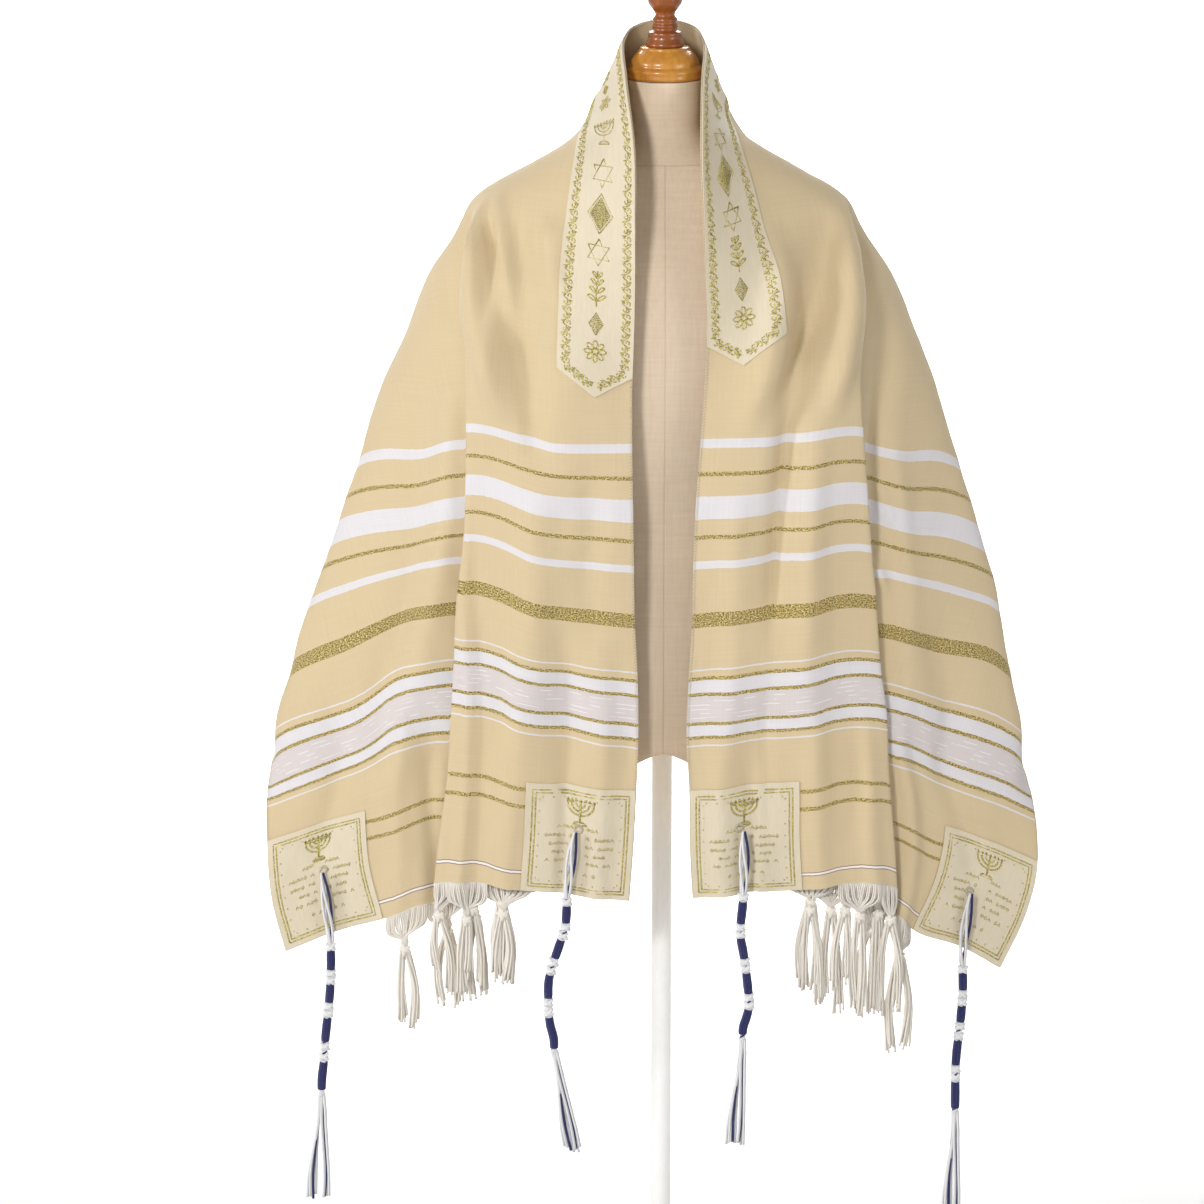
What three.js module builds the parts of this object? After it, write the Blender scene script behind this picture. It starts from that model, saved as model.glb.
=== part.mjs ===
// A prayer shawl draped over a limbless dress form. Millimetres, +Z up, the wearer's front facing -Y.
// The shawl is one rectangle of cloth. A point on it has a rise (its distance from the hem, measured along
// the cloth towards the centre of the back) and a distance in from the long edge that lies round the neck.
import * as THREE from "three";

// ---- driving dimensions ------------------------------------------------------------------------------
const HALF_LENGTH = 960;        // from a hem to the centre of the back
const SHOULDER_RISE = 700;      // the section that crosses the tip of the shoulder
const WALL = 1.6;               // wall of every cloth piece
const SEAM = 0.3;               // clearance between neighbouring pieces
const SHOULDER_SEAM = 2;        // rise given up at the shoulder section, where the rows draw together
const NORMAL_STEP = 0.5;        // half the distance over which a surface's slope is taken
const TUCK_GAP = 6;             // spacing of the layers in the tuck behind each front panel
const TUCK_SEAM = 0.6;          // clearance along the tuck where the side panel takes over
const TUCK_SPREAD = 6;          // stretch of the section that the tuck takes up on each side of its edge
const TUCK_START = 60;          // distance below the shoulder section over which the tuck opens
const TUCK_DROP = 27;           // how far the side panel's threads hang below those of the front panel
const TUCK_DROP_DEPTH = 14;     // tuck depth at which half of that drop is reached
const TUCK_SLANT = 0.18;        // rise of the hidden layer for each millimetre of its depth
const COLLAR_WIDTH = 76;
const COLLAR_POINT = 25;        // length of the pointed ends
const COLLAR_END = { left: 550, right: 582 };
const PATCH_WIDTH = 112;
const PATCH_HEIGHT = 122;
const PATCH_INSET = 1;          // the patches stop just short of the cloth's edges
const PATCH_SPREAD = 130;       // rise above the patches over which the cloth's columns even out
const FRINGE_LENGTH = 108;
const FRINGE_WALL = 2;
const TASSEL_RADIUS = 4.6;      // of the wound part
const TAIL_DEPTH = 7;           // of the loose strands, front to back
const TAIL_STEP = 0.6;          // gap between a tassel's wound part and its loose strands
const CAP_Z = 1414;             // underside of the neck cap
const KNOB_Z = 1446;            // underside of the turned knob on it
const TORSO_FLOOR_Z = 734;
const TORSO_SQUARE = 0.92;      // power of the cosine and sine round a torso section; 1 is an ellipse
const ARCH_DROP = 16;           // how far the torso's lower rim hangs beside its raised middle
const ARCH_WIDTH = 46;
const POLE_RADIUS = 11;
const BASE_RADIUS = 170;
const BASE_HEIGHT = 22;

const COLOURS = {
  cloth: 0xe6d2a6, satin: 0xe4dccb, fringe: 0xe6e1d8, cord: 0x2f3170, strands: 0xe4e4e6,
  linen: 0xd6bc9c, capWood: 0xcd9650, knobWood: 0xb87238, poleWhite: 0xf2f2f0,
};

// ---- sections of the draped cloth --------------------------------------------------------------------
// One row for each section across the cloth, with the depth of its tuck and the places where it passes the
// named guide lines, as [outward from the centre, back, up]. edge is the neck and front edge, band the
// collar's outer edge, fold the front panel's folded edge, flank the middle of the side panel, outer the
// outermost line, and hang the free long edge.
const SECTION_COLUMNS = ["rise", "tuck", "edge", "band", "fold", "flank", "outer", "hang"];
const LEFT_SECTIONS = [
  [0, 110, [35, -124, 585], [125, -124, 594], [238, -106, 597], [298, -84, 553], [347, -76, 532],
    [393, -80, 514]],
  [60, 102, [31, -124, 642], [124, -124, 650], [231, -105, 658], [300, -82, 615], [365, -70, 587],
    [407, -73, 570]],
  [120, 93, [28, -124, 702], [122, -124, 710], [223, -104, 719], [300, -80, 674], [378, -66, 640],
    [411, -65, 628]],
  [180, 88, [26, -123, 762], [120, -124, 770], [219, -103, 779], [302, -76, 729], [391, -55, 688],
    [411, -45, 677]],
  [240, 76, [27, -122, 822], [118, -124, 831], [214, -102, 840], [300, -72, 788], [402, -38, 741],
    [402, -18, 720]],
  [300, 68, [30, -122, 882], [114, -124, 891], [209, -101, 901], [290, -70, 846], [386, -28, 801],
    [370, 12, 742]],
  [360, 59, [31, -121, 942], [112, -124, 952], [204, -100, 962], [278, -68, 904], [366, -20, 860],
    [345, 32, 770]],
  [420, 49, [32, -121, 1002], [110, -124, 1012], [203, -99, 1022], [266, -64, 970], [339, -14, 932],
    [315, 48, 800]],
  [480, 38, [33, -120, 1062], [108, -124, 1073], [202, -97, 1083], [256, -58, 1038], [311, -10, 1011],
    [280, 70, 845]],
  [540, 24, [33, -119, 1122], [107, -124, 1134], [202, -88, 1143], [243, -48, 1113], [281, -8, 1099],
    [262, 106, 862]],
  [600, 12, [31, -119, 1182], [104, -112, 1190], [199, -66, 1200], [228, -36, 1186], [250, -4, 1172],
    [236, 126, 878]],
  [650, 1, [30, -117, 1232], [100, -98, 1240], [196, -38, 1249], [214, -18, 1246], [225, 4, 1235],
    [208, 124, 890]],
  [700, 0, [30, -113, 1281], [97, -80, 1291], [192, -4, 1290], [197, 16, 1285], [199, 40, 1262],
    [190, 103, 900]],
  [760, 0, [30, -97, 1350], [86, -52, 1346], [160, 18, 1310], [179, 50, 1280], [187, 74, 1225],
    [178, 104, 905]],
  [830, 0, [38, -50, 1420], [76, -6, 1375], [114, 54, 1314], [147, 80, 1272], [156, 92, 1215],
    [148, 108, 898]],
  [890, 0, [40, 8, 1452], [65, 37, 1389], [87, 78, 1318], [98, 92, 1266], [102, 99, 1210], [98, 111, 893]],
  [925, 0, [29, 42, 1461], [48, 63, 1392], [58, 88, 1313], [62, 97, 1262], [64, 103, 1205], [62, 113, 889]],
  [960, 0, [0, 62, 1466], [0, 80, 1393], [0, 96, 1312], [0, 103, 1260], [0, 107, 1202], [0, 115, 887]],
];
const RIGHT_SECTIONS = [
  [0, 124, [30, -124, 588], [122, -124, 595], [244, -106, 590], [268, -86, 542], [318, -74, 514],
    [354, -69, 491]],
  [60, 110, [27, -124, 642], [120, -124, 648], [239, -105, 651], [284, -82, 600], [342, -69, 568],
    [379, -63, 546]],
  [120, 103, [26, -124, 702], [118, -124, 710], [233, -104, 712], [289, -78, 656], [354, -64, 622],
    [391, -57, 603]],
  [180, 102, [23, -123, 762], [116, -124, 770], [230, -103, 773], [290, -74, 717], [362, -54, 681],
    [386, -42, 664]],
  [240, 91, [25, -122, 822], [114, -124, 831], [222, -102, 835], [290, -72, 781], [372, -36, 735],
    [374, -8, 702]],
  [300, 83, [28, -122, 882], [112, -124, 891], [217, -101, 896], [282, -70, 842], [360, -28, 802],
    [347, 12, 745]],
  [360, 72, [29, -121, 942], [110, -124, 952], [211, -100, 957], [273, -68, 905], [344, -20, 871],
    [322, 32, 782]],
  [420, 60, [31, -121, 1002], [108, -124, 1012], [206, -99, 1019], [260, -64, 970], [320, -14, 946],
    [295, 48, 812]],
  [480, 49, [35, -120, 1062], [108, -124, 1073], [201, -97, 1080], [249, -58, 1038], [297, -10, 1016],
    [265, 70, 852]],
  [540, 33, [39, -119, 1122], [110, -116, 1132], [197, -88, 1140], [236, -48, 1113], [271, -8, 1100],
    [248, 106, 866]],
  [600, 18, [41, -119, 1182], [110, -98, 1190], [192, -66, 1199], [221, -36, 1187], [243, -4, 1175],
    [224, 126, 880]],
  [650, 1, [39, -117, 1232], [103, -82, 1240], [186, -38, 1249], [205, -18, 1246], [216, 4, 1237],
    [198, 124, 892]],
  [700, 0, [37, -113, 1281], [92, -63, 1291], [184, -4, 1290], [189, 16, 1285], [191, 40, 1262],
    [181, 103, 900]],
  [760, 0, [34, -97, 1350], [70, -40, 1349], [152, 18, 1310], [171, 50, 1280], [178, 74, 1225],
    [170, 104, 905]],
  [830, 0, [36, -50, 1419], [63, 1, 1375], [114, 54, 1316], [140, 80, 1272], [149, 92, 1215],
    [141, 108, 898]],
  [890, 0, [38, 8, 1451], [59, 37, 1390], [83, 78, 1318], [93, 92, 1266], [97, 99, 1210], [94, 111, 893]],
  [925, 0, [28, 42, 1461], [44, 63, 1392], [55, 88, 1313], [59, 97, 1262], [61, 103, 1205], [60, 113, 889]],
  [960, 0, [0, 62, 1466], [0, 80, 1393], [0, 96, 1312], [0, 103, 1260], [0, 107, 1202], [0, 115, 887]],
];
const GUIDES = ["edge", "band", "fold", "flank", "outer", "hang"];
const FOLD = GUIDES.indexOf("fold");
const OUTER = GUIDES.indexOf("outer");

// Diagonal hollows in the chest of each front panel: centre line from start to end, as [rise, distance in].
const CREASE_COLUMNS = ["side", "start", "end", "depth", "reach"];
const CREASES = table(CREASE_COLUMNS, [
  ["right", [690, 146], [490, 76], 16, 20],
  ["left", [690, 144], [490, 90], 8, 20],
]);

function table(columns, rows) {
  return rows.map((row) => Object.fromEntries(columns.map((name, k) => [name, row[k]])));
}

const clamp01 = (x) => Math.min(1, Math.max(0, x));
const smooth = (x) => clamp01(x) ** 2 * (3 - 2 * clamp01(x));

// Cubic through values[k] at knots[k], with tangents from the parabola through each knot's neighbours.
function spline(knots, values, at) {
  let k = 0;
  while (k < knots.length - 2 && at > knots[k + 1]) k += 1;
  const slope = (n) => (values[n + 1] - values[n]) / (knots[n + 1] - knots[n]);
  const tangent = (n) => {
    if (n === 0) return slope(0);
    if (n === knots.length - 1) return slope(n - 1);
    const before = knots[n] - knots[n - 1];
    const after = knots[n + 1] - knots[n];
    return (slope(n - 1) * after + slope(n) * before) / (before + after);
  };
  const span = knots[k + 1] - knots[k];
  const f = (at - knots[k]) / span;
  return (2 * f ** 3 - 3 * f ** 2 + 1) * values[k] + (f ** 3 - 2 * f ** 2 + f) * span * tangent(k)
    + (3 * f ** 2 - 2 * f ** 3) * values[k + 1] + (f ** 3 - f ** 2) * span * tangent(k + 1);
}

// The rows of one side, followed by a mirrored row past the centre of the back that keeps it level there.
function sideRows(rows) {
  const sections = table(SECTION_COLUMNS, rows);
  const last = sections[sections.length - 2];
  const mirrored = { ...last, rise: 2 * HALF_LENGTH - last.rise };
  for (const name of GUIDES) mirrored[name] = [-last[name][0], last[name][1], last[name][2]];
  return [...sections, mirrored];
}

const SIDES = {
  left: { sign: -1, rows: sideRows(LEFT_SECTIONS) },
  right: { sign: 1, rows: sideRows(RIGHT_SECTIONS) },
};

// The section at a rise: its guide points, and their distances from the front edge along the section.
function sectionAt(side, rise) {
  const { sign, rows } = SIDES[side];
  const rises = rows.map((row) => row.rise);
  const read = (pick) => spline(rises, rows.map(pick), rise);
  const guides = GUIDES.map((name) => new THREE.Vector3(
    sign * read((row) => row[name][0]), read((row) => row[name][1]), read((row) => row[name][2])));
  const knots = [0];
  for (let k = 1; k < guides.length; k += 1) knots.push(knots[k - 1] + guides[k].distanceTo(guides[k - 1]));
  const tuck = Math.max(0, read((row) => row.tuck));
  const gap = TUCK_GAP * smooth((SHOULDER_RISE - rise) / TUCK_START);
  const [foldAt, outerAt, end] = [knots[FOLD], knots[OUTER], knots.at(-1)];
  return { side, rise, guides, knots, tuck, gap, foldAt, outerAt, end };
}

function creaseDepth(section, along) {
  let depth = 0;
  for (const crease of CREASES) {
    if (crease.side !== section.side) continue;
    const [r0, a0] = crease.start;
    const [r1, a1] = crease.end;
    const length = Math.hypot(r1 - r0, a1 - a0);
    const t = ((section.rise - r0) * (r1 - r0) + (along - a0) * (a1 - a0)) / length ** 2;
    const off = ((section.rise - r0) * (a1 - a0) - (along - a0) * (r1 - r0)) / length;
    depth += crease.depth * Math.exp(-((off / crease.reach) ** 2)) * Math.sin(Math.PI * clamp01(t));
  }
  return depth;
}

// A point on the section's base curve, which runs straight on past the folded edge.
function basePoint(section, along) {
  const { knots, guides } = section;
  const read = (axis) => spline(knots, guides.map((guide) => guide[axis]), along);
  return new THREE.Vector3(read("x"), read("y") + creaseDepth(section, along), read("z"));
}

// A point behind the base curve by a depth, measured level and square to the curve, and higher by a lift.
function layerPoint(section, along, depth, lift) {
  const point = basePoint(section, along);
  const ahead = basePoint(section, along + NORMAL_STEP).sub(basePoint(section, along - NORMAL_STEP)).setZ(0);
  const inward = new THREE.Vector3(-ahead.y, ahead.x, 0).multiplyScalar(SIDES[section.side].sign).normalize();
  return point.addScaledVector(inward, depth).add(new THREE.Vector3(0, 0, lift));
}

// The tuck, from 0 at the folded edge, through its inner edge at a half, to 1 where the side panel starts.
function tuckPoint(section, part) {
  const { tuck, gap, foldAt } = section;
  const radius = gap / 2;
  const drop = sideDrop(section);
  let inward;
  let depth;
  let lift;
  if (part < 0.2) {
    const turn = Math.PI * part / 0.2;
    inward = -radius * Math.sin(turn);
    depth = radius * (1 - Math.cos(turn));
    lift = 0;
  } else if (part < 0.4) {
    inward = tuck * (part - 0.2) / 0.2;
    depth = gap;
    lift = TUCK_SLANT * inward;
  } else if (part < 0.6) {
    const turn = Math.PI * (part - 0.4) / 0.2;
    inward = tuck + radius * Math.sin(turn);
    depth = gap + radius * (1 - Math.cos(turn));
    lift = TUCK_SLANT * tuck;
  } else {
    const left = (1 - part) / 0.4;
    inward = tuck * left;
    depth = 2 * gap;
    lift = TUCK_SLANT * tuck * left - drop * (1 - left);
  }
  return layerPoint(section, foldAt + TUCK_SPREAD * (2 * part - 1) - inward, depth, lift);
}

const sideDrop = (section) => TUCK_DROP * section.tuck / (section.tuck + TUCK_DROP_DEPTH);

// A point on the side panel and what follows it, by its distance along the section.
function sidePoint(section, along) {
  const fade = clamp01((section.outerAt - along) / (section.outerAt - section.foldAt - TUCK_SPREAD)) ** 2;
  return layerPoint(section, along, 2 * section.gap * fade, -sideDrop(section) * fade);
}

// ---- solids ------------------------------------------------------------------------------------------
function solid(positions, triangles) {
  const geometry = new THREE.BufferGeometry();
  const places = positions.flatMap((point) => [point.x, point.y, point.z]);
  geometry.setAttribute("position", new THREE.Float32BufferAttribute(places, 3));
  let volume = 0;
  for (const [a, b, c] of triangles) {
    volume += positions[a].dot(new THREE.Vector3().crossVectors(positions[b], positions[c]));
  }
  geometry.setIndex(triangles.flatMap(([a, b, c]) => (volume < 0 ? [a, c, b] : [a, b, c])));
  geometry.computeVertexNormals();
  return geometry;
}

// A closed wall through the rows of points that rowAt gives at each distance along the cloth. It is moved off
// those points by a distance, on the side that the rows' order gives.
function clothWall(distances, rowAt, wall, moved = 0) {
  const grid = distances.map(rowAt);
  const normals = distances.map((distance, r) => {
    const [before, after] = [rowAt(distance - NORMAL_STEP), rowAt(distance + NORMAL_STEP)];
    return grid[r].map((_, c) => {
      const across = grid[r][Math.min(c + 1, grid[r].length - 1)].clone().sub(grid[r][Math.max(c - 1, 0)]);
      return across.cross(after[c].clone().sub(before[c])).normalize();
    });
  });
  const rows = grid.length;
  const columns = grid[0].length;
  const face = (distance) => grid.flatMap((row, r) => row.map((point, c) =>
    point.clone().addScaledVector(normals[r][c], distance)));
  const positions = [...face(moved + wall / 2), ...face(moved - wall / 2)];
  const under = rows * columns;
  const index = (r, c) => r * columns + c;
  const triangles = [];
  for (let r = 0; r < rows - 1; r += 1) {
    for (let c = 0; c < columns - 1; c += 1) {
      const [a, b, d, e] = [index(r, c), index(r, c + 1), index(r + 1, c + 1), index(r + 1, c)];
      triangles.push([a, b, d], [a, d, e]);
      triangles.push([under + a, under + d, under + b], [under + a, under + e, under + d]);
    }
  }
  const rim = [];
  for (let c = 0; c < columns - 1; c += 1) rim.push([index(0, c), index(0, c + 1)]);
  for (let r = 0; r < rows - 1; r += 1) rim.push([index(r, columns - 1), index(r + 1, columns - 1)]);
  for (let c = columns - 1; c > 0; c -= 1) rim.push([index(rows - 1, c), index(rows - 1, c - 1)]);
  for (let r = rows - 1; r > 0; r -= 1) rim.push([index(r, 0), index(r - 1, 0)]);
  for (const [a, b] of rim) triangles.push([b, a, under + a], [b, under + a, under + b]);
  return solid(positions, triangles);
}

// A closed body through rings of equal numbers of points, with a point in the middle of each end.
function ringSolid(rings, firstMiddle, lastMiddle) {
  const count = rings[0].length;
  const positions = [...rings.flat(), firstMiddle, lastMiddle];
  const first = positions.length - 2;
  const triangles = [];
  for (let c = 0; c < count; c += 1) {
    const next = (c + 1) % count;
    for (let r = 0; r < rings.length - 1; r += 1) {
      const [a, b] = [r * count + c, r * count + next];
      triangles.push([a, b, b + count], [a, b + count, a + count]);
    }
    const top = (rings.length - 1) * count;
    triangles.push([first, next, c], [first + 1, top + c, top + next]);
  }
  return solid(positions, triangles);
}

const range = (count, from, to) =>
  Array.from({ length: count }, (_, k) => from + (to - from) * k / (count - 1));

const shawlAndForm = new THREE.Group();

function addPiece(name, geometry, colour, roughness = 0.9, metalness = 0) {
  const material = new THREE.MeshStandardMaterial({ color: colour, roughness, metalness });
  const mesh = new THREE.Mesh(geometry, material);
  mesh.name = name;
  shawlAndForm.add(mesh);
  return mesh;
}

// ---- the cloth ---------------------------------------------------------------------------------------
const HANGING_RISES = [
  0, 30, 60, 90, PATCH_HEIGHT, 165, 210, 260, 310, 360, 410, 460, 500, 530, COLLAR_END.left, COLLAR_END.right,
  625, 650, 675, SHOULDER_RISE - SHOULDER_SEAM / 2,
];

// Distances across the front panel: the collar's columns, the patch's edge and three steps on to the fold.
const frontColumns = (section) => [
  ...range(5, 0, COLLAR_WIDTH), ...range(4, PATCH_WIDTH + SEAM, section.foldAt - TUCK_SPREAD),
];

// Distances across the side panel. One column runs down its outermost line. Low down, two others are the
// edges of the outer patch, and higher up they move out until the steps are even.
const sideColumns = (section) => {
  const start = section.foldAt + TUCK_SPREAD;
  const patchAt = section.end - PATCH_WIDTH;
  const low = [...range(6, start, patchAt - SEAM), patchAt, (patchAt + section.outerAt) / 2];
  const even = range(9, start, section.outerAt);
  const part = smooth((section.rise - PATCH_HEIGHT) / PATCH_SPREAD);
  return [
    ...low.map((along, k) => along + (even[k] - along) * part),
    ...range(5, section.outerAt, section.end),
  ];
};

// The front panel with the hidden layers of its tuck, to the seam halfway back to the folded edge.
const frontPanelRow = (side) => (rise) => {
  const section = sectionAt(side, rise);
  const face = frontColumns(section).map((along) => basePoint(section, along));
  const tucked = [0.1, 0.2, 0.3, 0.4, 0.5, 0.6].map((part) => tuckPoint(section, part));
  return [...face, ...tucked, tuckSeam(section, -1)];
};

// The side panel, from that seam to the free long edge behind.
const sidePanelRow = (side) => (rise) => {
  const section = sectionAt(side, rise);
  return [tuckSeam(section, 1), ...sideColumns(section).map((along) => sidePoint(section, along))];
};

// A point on the tuck's last layer, half a seam to one side of its middle.
function tuckSeam(section, towards) {
  const step = 0.01;
  const middle = tuckPoint(section, 0.8);
  const direction = tuckPoint(section, 0.8 + step).sub(tuckPoint(section, 0.8 - step)).normalize();
  return middle.addScaledVector(direction, towards * TUCK_SEAM / 2);
}

// The section at a distance round from the left hem, on to the right hem.
const sectionRound = (distance) => (distance <= HALF_LENGTH
  ? sectionAt("left", distance) : sectionAt("right", 2 * HALF_LENGTH - distance));

// The shoulders and back in one stretch, from the left shoulder section to the right one. Its columns meet
// those of the front and side panels.
const backRow = (distance) => {
  const section = sectionRound(distance);
  const side = section.side;
  return [...frontPanelRow(side)(section.rise), ...sidePanelRow(side)(section.rise).slice(1)];
};
const BACK_START = SHOULDER_RISE + SHOULDER_SEAM / 2;
const backDistances = range(23, BACK_START, 2 * HALF_LENGTH - BACK_START);

for (const side of ["left", "right"]) {
  addPiece(`${side}_front_panel`, clothWall(HANGING_RISES, frontPanelRow(side), WALL), COLOURS.cloth);
  addPiece(`${side}_side_panel`, clothWall(HANGING_RISES, sidePanelRow(side), WALL), COLOURS.cloth);
}
addPiece("shoulders_and_back", clothWall(backDistances, backRow, WALL), COLOURS.cloth);

// ---- what is sewn on ---------------------------------------------------------------------------------
const LAID_ON = WALL + 0.6;     // between the middles of the cloth and of what is sewn on it

// The collar band follows the neck edge from one pointed end, round the neck, to the other, over the columns
// of the cloth beneath it.
const COLLAR_LEFT_END = COLLAR_END.left;
const COLLAR_RIGHT_END = 2 * HALF_LENGTH - COLLAR_END.right;
const collarRow = (distance) => range(5, 0, COLLAR_WIDTH).map((along) => {
  const beyond = COLLAR_POINT * (1 - Math.abs(2 * along / COLLAR_WIDTH - 1));
  const pointed = distance < COLLAR_LEFT_END ? -beyond : beyond * (distance > COLLAR_RIGHT_END);
  return basePoint(sectionRound(distance + pointed), along);
});

// A patch lies on the cloth's own columns, and stops just short of the cloth's edge.
const frontPatchRow = (side) => (rise) => {
  const section = sectionAt(side, rise);
  const columns = [PATCH_INSET, ...frontColumns(section).slice(1, 5), PATCH_WIDTH];
  return columns.map((along) => basePoint(section, along));
};
const outerPatchRow = (side) => (rise) => {
  const section = sectionAt(side, rise);
  const columns = [...sideColumns(section).slice(6, -1), section.end - PATCH_INSET];
  return columns.map((along) => sidePoint(section, along));
};

// The fringe hangs from the hem between the two patches, from the cloth's own columns, and follows the tuck.
const fringeRow = (side) => {
  const front = frontPanelRow(side)(0).slice(6);
  const hem = [...front, ...sidePanelRow(side)(0).slice(1, 7)];
  return (below) => hem.map((point) => point.clone().setZ(point.z - below));
};

const collarDistances = [
  COLLAR_LEFT_END - 1, ...HANGING_RISES.filter((rise) => rise >= COLLAR_END.left),
  ...backDistances,
  ...HANGING_RISES.filter((rise) => rise >= COLLAR_END.right).map((rise) => 2 * HALF_LENGTH - rise).reverse(),
  COLLAR_RIGHT_END + 1,
];
const patchRises = [PATCH_INSET, ...HANGING_RISES.filter((rise) => rise > 0 && rise <= PATCH_HEIGHT)];
const fringeDrops = range(3, 2 * SEAM, FRINGE_LENGTH);
addPiece("collar_band", clothWall(collarDistances, collarRow, WALL, -LAID_ON), COLOURS.satin, 0.5);
for (const side of ["left", "right"]) {
  const out = SIDES[side].sign * LAID_ON;
  const front = clothWall(patchRises, frontPatchRow(side), WALL, out);
  const outer = clothWall(patchRises, outerPatchRow(side), WALL, out);
  addPiece(`${side}_front_corner_patch`, front, COLOURS.satin, 0.5);
  addPiece(`${side}_outer_corner_patch`, outer, COLOURS.satin, 0.5);
  addPiece(`${side}_hem_fringe`, clothWall(fringeDrops, fringeRow(side), FRINGE_WALL), COLOURS.fringe);
}

// ---- corner tassels ----------------------------------------------------------------------------------
// Each is a wound cord that lies on its patch and hangs below it, through places given as
// [outward, back, up], and loose strands below it, whose end has its own place and width.
const TASSELS = table(["name", "side", "wound", "tail", "tailWidth"], [
  ["left_front", "left", [
    [90, -133.2, 662], [93.5, -133.2, 640], [96.5, -133.2, 616], [99, -133.2, 592], [99.5, -133, 574],
    [101, -133, 558], [105.5, -133, 544], [111, -132.5, 527], [115, -132, 514], [118, -132, 500],
    [118.5, -132, 484], [118.5, -132, 470], [116.5, -132, 452], [113, -132, 437], [112.5, -132, 423],
  ], [92, -132, 310], 18],
  ["right_front", "right", [
    [82, -133, 663], [82.5, -133, 641], [82.5, -133, 619], [82, -133, 598], [81, -133, 580],
    [79.5, -133, 564], [79.5, -133, 548], [82, -132.5, 534], [84.5, -132, 518], [86.5, -132, 502],
    [88, -132, 488], [89, -132, 474], [86.5, -132, 461], [83, -132, 449], [82.5, -132, 436],
  ], [76, -132, 317], 20],
  ["left_outer", "left", [
    [353, -79.6, 600], [350.5, -81.2, 580], [348.5, -82.8, 560], [346.5, -84, 541], [345.5, -84.6, 523],
    [345.5, -84.6, 506], [346, -84.4, 490], [347, -84.2, 473], [348.5, -84, 457], [350.5, -84, 440],
    [352.5, -84, 423], [354, -84, 406], [355.5, -84, 389], [357.5, -84, 372], [358, -84, 355],
  ], [363, -84, 237], 30],
  ["right_outer", "right", [
    [320.5, -81.8, 578], [318, -82.4, 560], [315.5, -82.8, 542], [313.5, -83, 524], [313, -83, 507],
    [313.5, -83, 490], [314, -82.8, 474], [313.5, -82.6, 457], [312.5, -82.6, 440], [311, -82.6, 423],
    [309.5, -82.6, 406], [308.5, -82.6, 389], [308.5, -82.6, 371], [308.8, -82.6, 353], [309, -82.6, 336],
  ], [308, -82.6, 210], 20],
]);

for (const tassel of TASSELS) {
  const { sign } = SIDES[tassel.side];
  const place = ([outward, back, up]) => new THREE.Vector3(sign * outward, back, up);
  const points = tassel.wound.map(place);
  const outline = new THREE.Shape(range(9, 0, 2 * Math.PI).slice(0, 8).map((turn) =>
    new THREE.Vector2(TASSEL_RADIUS * Math.cos(turn), TASSEL_RADIUS * Math.sin(turn))));
  const cord = new THREE.ExtrudeGeometry(outline, {
    steps: 16, bevelEnabled: false, extrudePath: new THREE.CatmullRomCurve3(points),
  });
  addPiece(`${tassel.name}_tassel_cord`, cord, COLOURS.cord);

  const top = points.at(-1).clone().setZ(points.at(-1).z - TAIL_STEP);
  const tip = place(tassel.tail);
  const rings = range(5, 0, 1).map((t) => {
    const middle = top.clone().lerp(tip, t);
    const half = TASSEL_RADIUS + (tassel.tailWidth / 2 - TASSEL_RADIUS) * Math.sqrt(t);
    const depth = TASSEL_RADIUS + (TAIL_DEPTH / 2 - TASSEL_RADIUS) * t;
    return range(11, 0, 2 * Math.PI).slice(0, 10).map((turn) =>
      new THREE.Vector3(half * Math.cos(turn), depth * Math.sin(turn), 0).add(middle));
  });
  addPiece(`${tassel.name}_tassel_strands`, ringSolid(rings, top, tip), COLOURS.strands);
}

// ---- the dress form ----------------------------------------------------------------------------------
const TORSO_SECTIONS = table(["up", "half", "front", "back"], [
  [CAP_Z - SEAM, 37, -37, 37],
  [1385, 37, -38, 38],
  [1360, 40, -42, 42],
  [1342, 56, -50, 54],
  [1330, 83, -56, 62],
  [1316, 120, -60, 69],
  [1300, 151, -64, 74],
  [1280, 171, -69, 78],
  [1250, 182, -81, 82],
  [1200, 186, -93, 85],
  [1150, 168, -98, 83],
  [1100, 150, -97, 79],
  [1050, 136, -92, 74],
  [1000, 128, -86, 71],
  [950, 135, -84, 74],
  [900, 150, -86, 80],
  [850, 161, -91, 87],
  [800, 169, -95, 92],
  [TORSO_FLOOR_Z, 168, -95, 92],
]);
const TORSO_COUNT = 36;
const torsoUps = TORSO_SECTIONS.map((section) => section.up).reverse();
const torsoAt = (up, name) => spline(torsoUps, TORSO_SECTIONS.map((section) => section[name]).reverse(), up);
const power = (x) => Math.sign(x) * Math.abs(x) ** TORSO_SQUARE;

function torsoRing(up) {
  const [half, front, back] = ["half", "front", "back"].map((name) => torsoAt(up, name));
  return range(TORSO_COUNT + 1, 0, 2 * Math.PI).slice(0, -1).map((turn) => new THREE.Vector3(
    half * power(Math.cos(turn)), (front + back) / 2 + (back - front) / 2 * power(Math.sin(turn)), up));
}

// The lower rim is raised in the middle of the front and back, and the floor inside it is level.
const rim = torsoRing(TORSO_FLOOR_Z).map((point) =>
  point.clone().setZ(TORSO_FLOOR_Z - ARCH_DROP * smooth(Math.abs(point.x) / ARCH_WIDTH)));
const floor = rim.map((point) => point.clone().multiplyScalar(0.2).setZ(TORSO_FLOOR_Z));
const torsoRings = [
  floor, rim, ...range(11, TORSO_FLOOR_Z + 20, 1180).map(torsoRing), ...range(9, 1205, 1290).map(torsoRing),
  ...range(14, 1298, CAP_Z - SEAM).map(torsoRing),
];
const torso = ringSolid(
  torsoRings, new THREE.Vector3(0, 0, TORSO_FLOOR_Z), new THREE.Vector3(0, 0, CAP_Z - SEAM));
addPiece("dress_form_torso", torso, COLOURS.linen);

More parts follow.
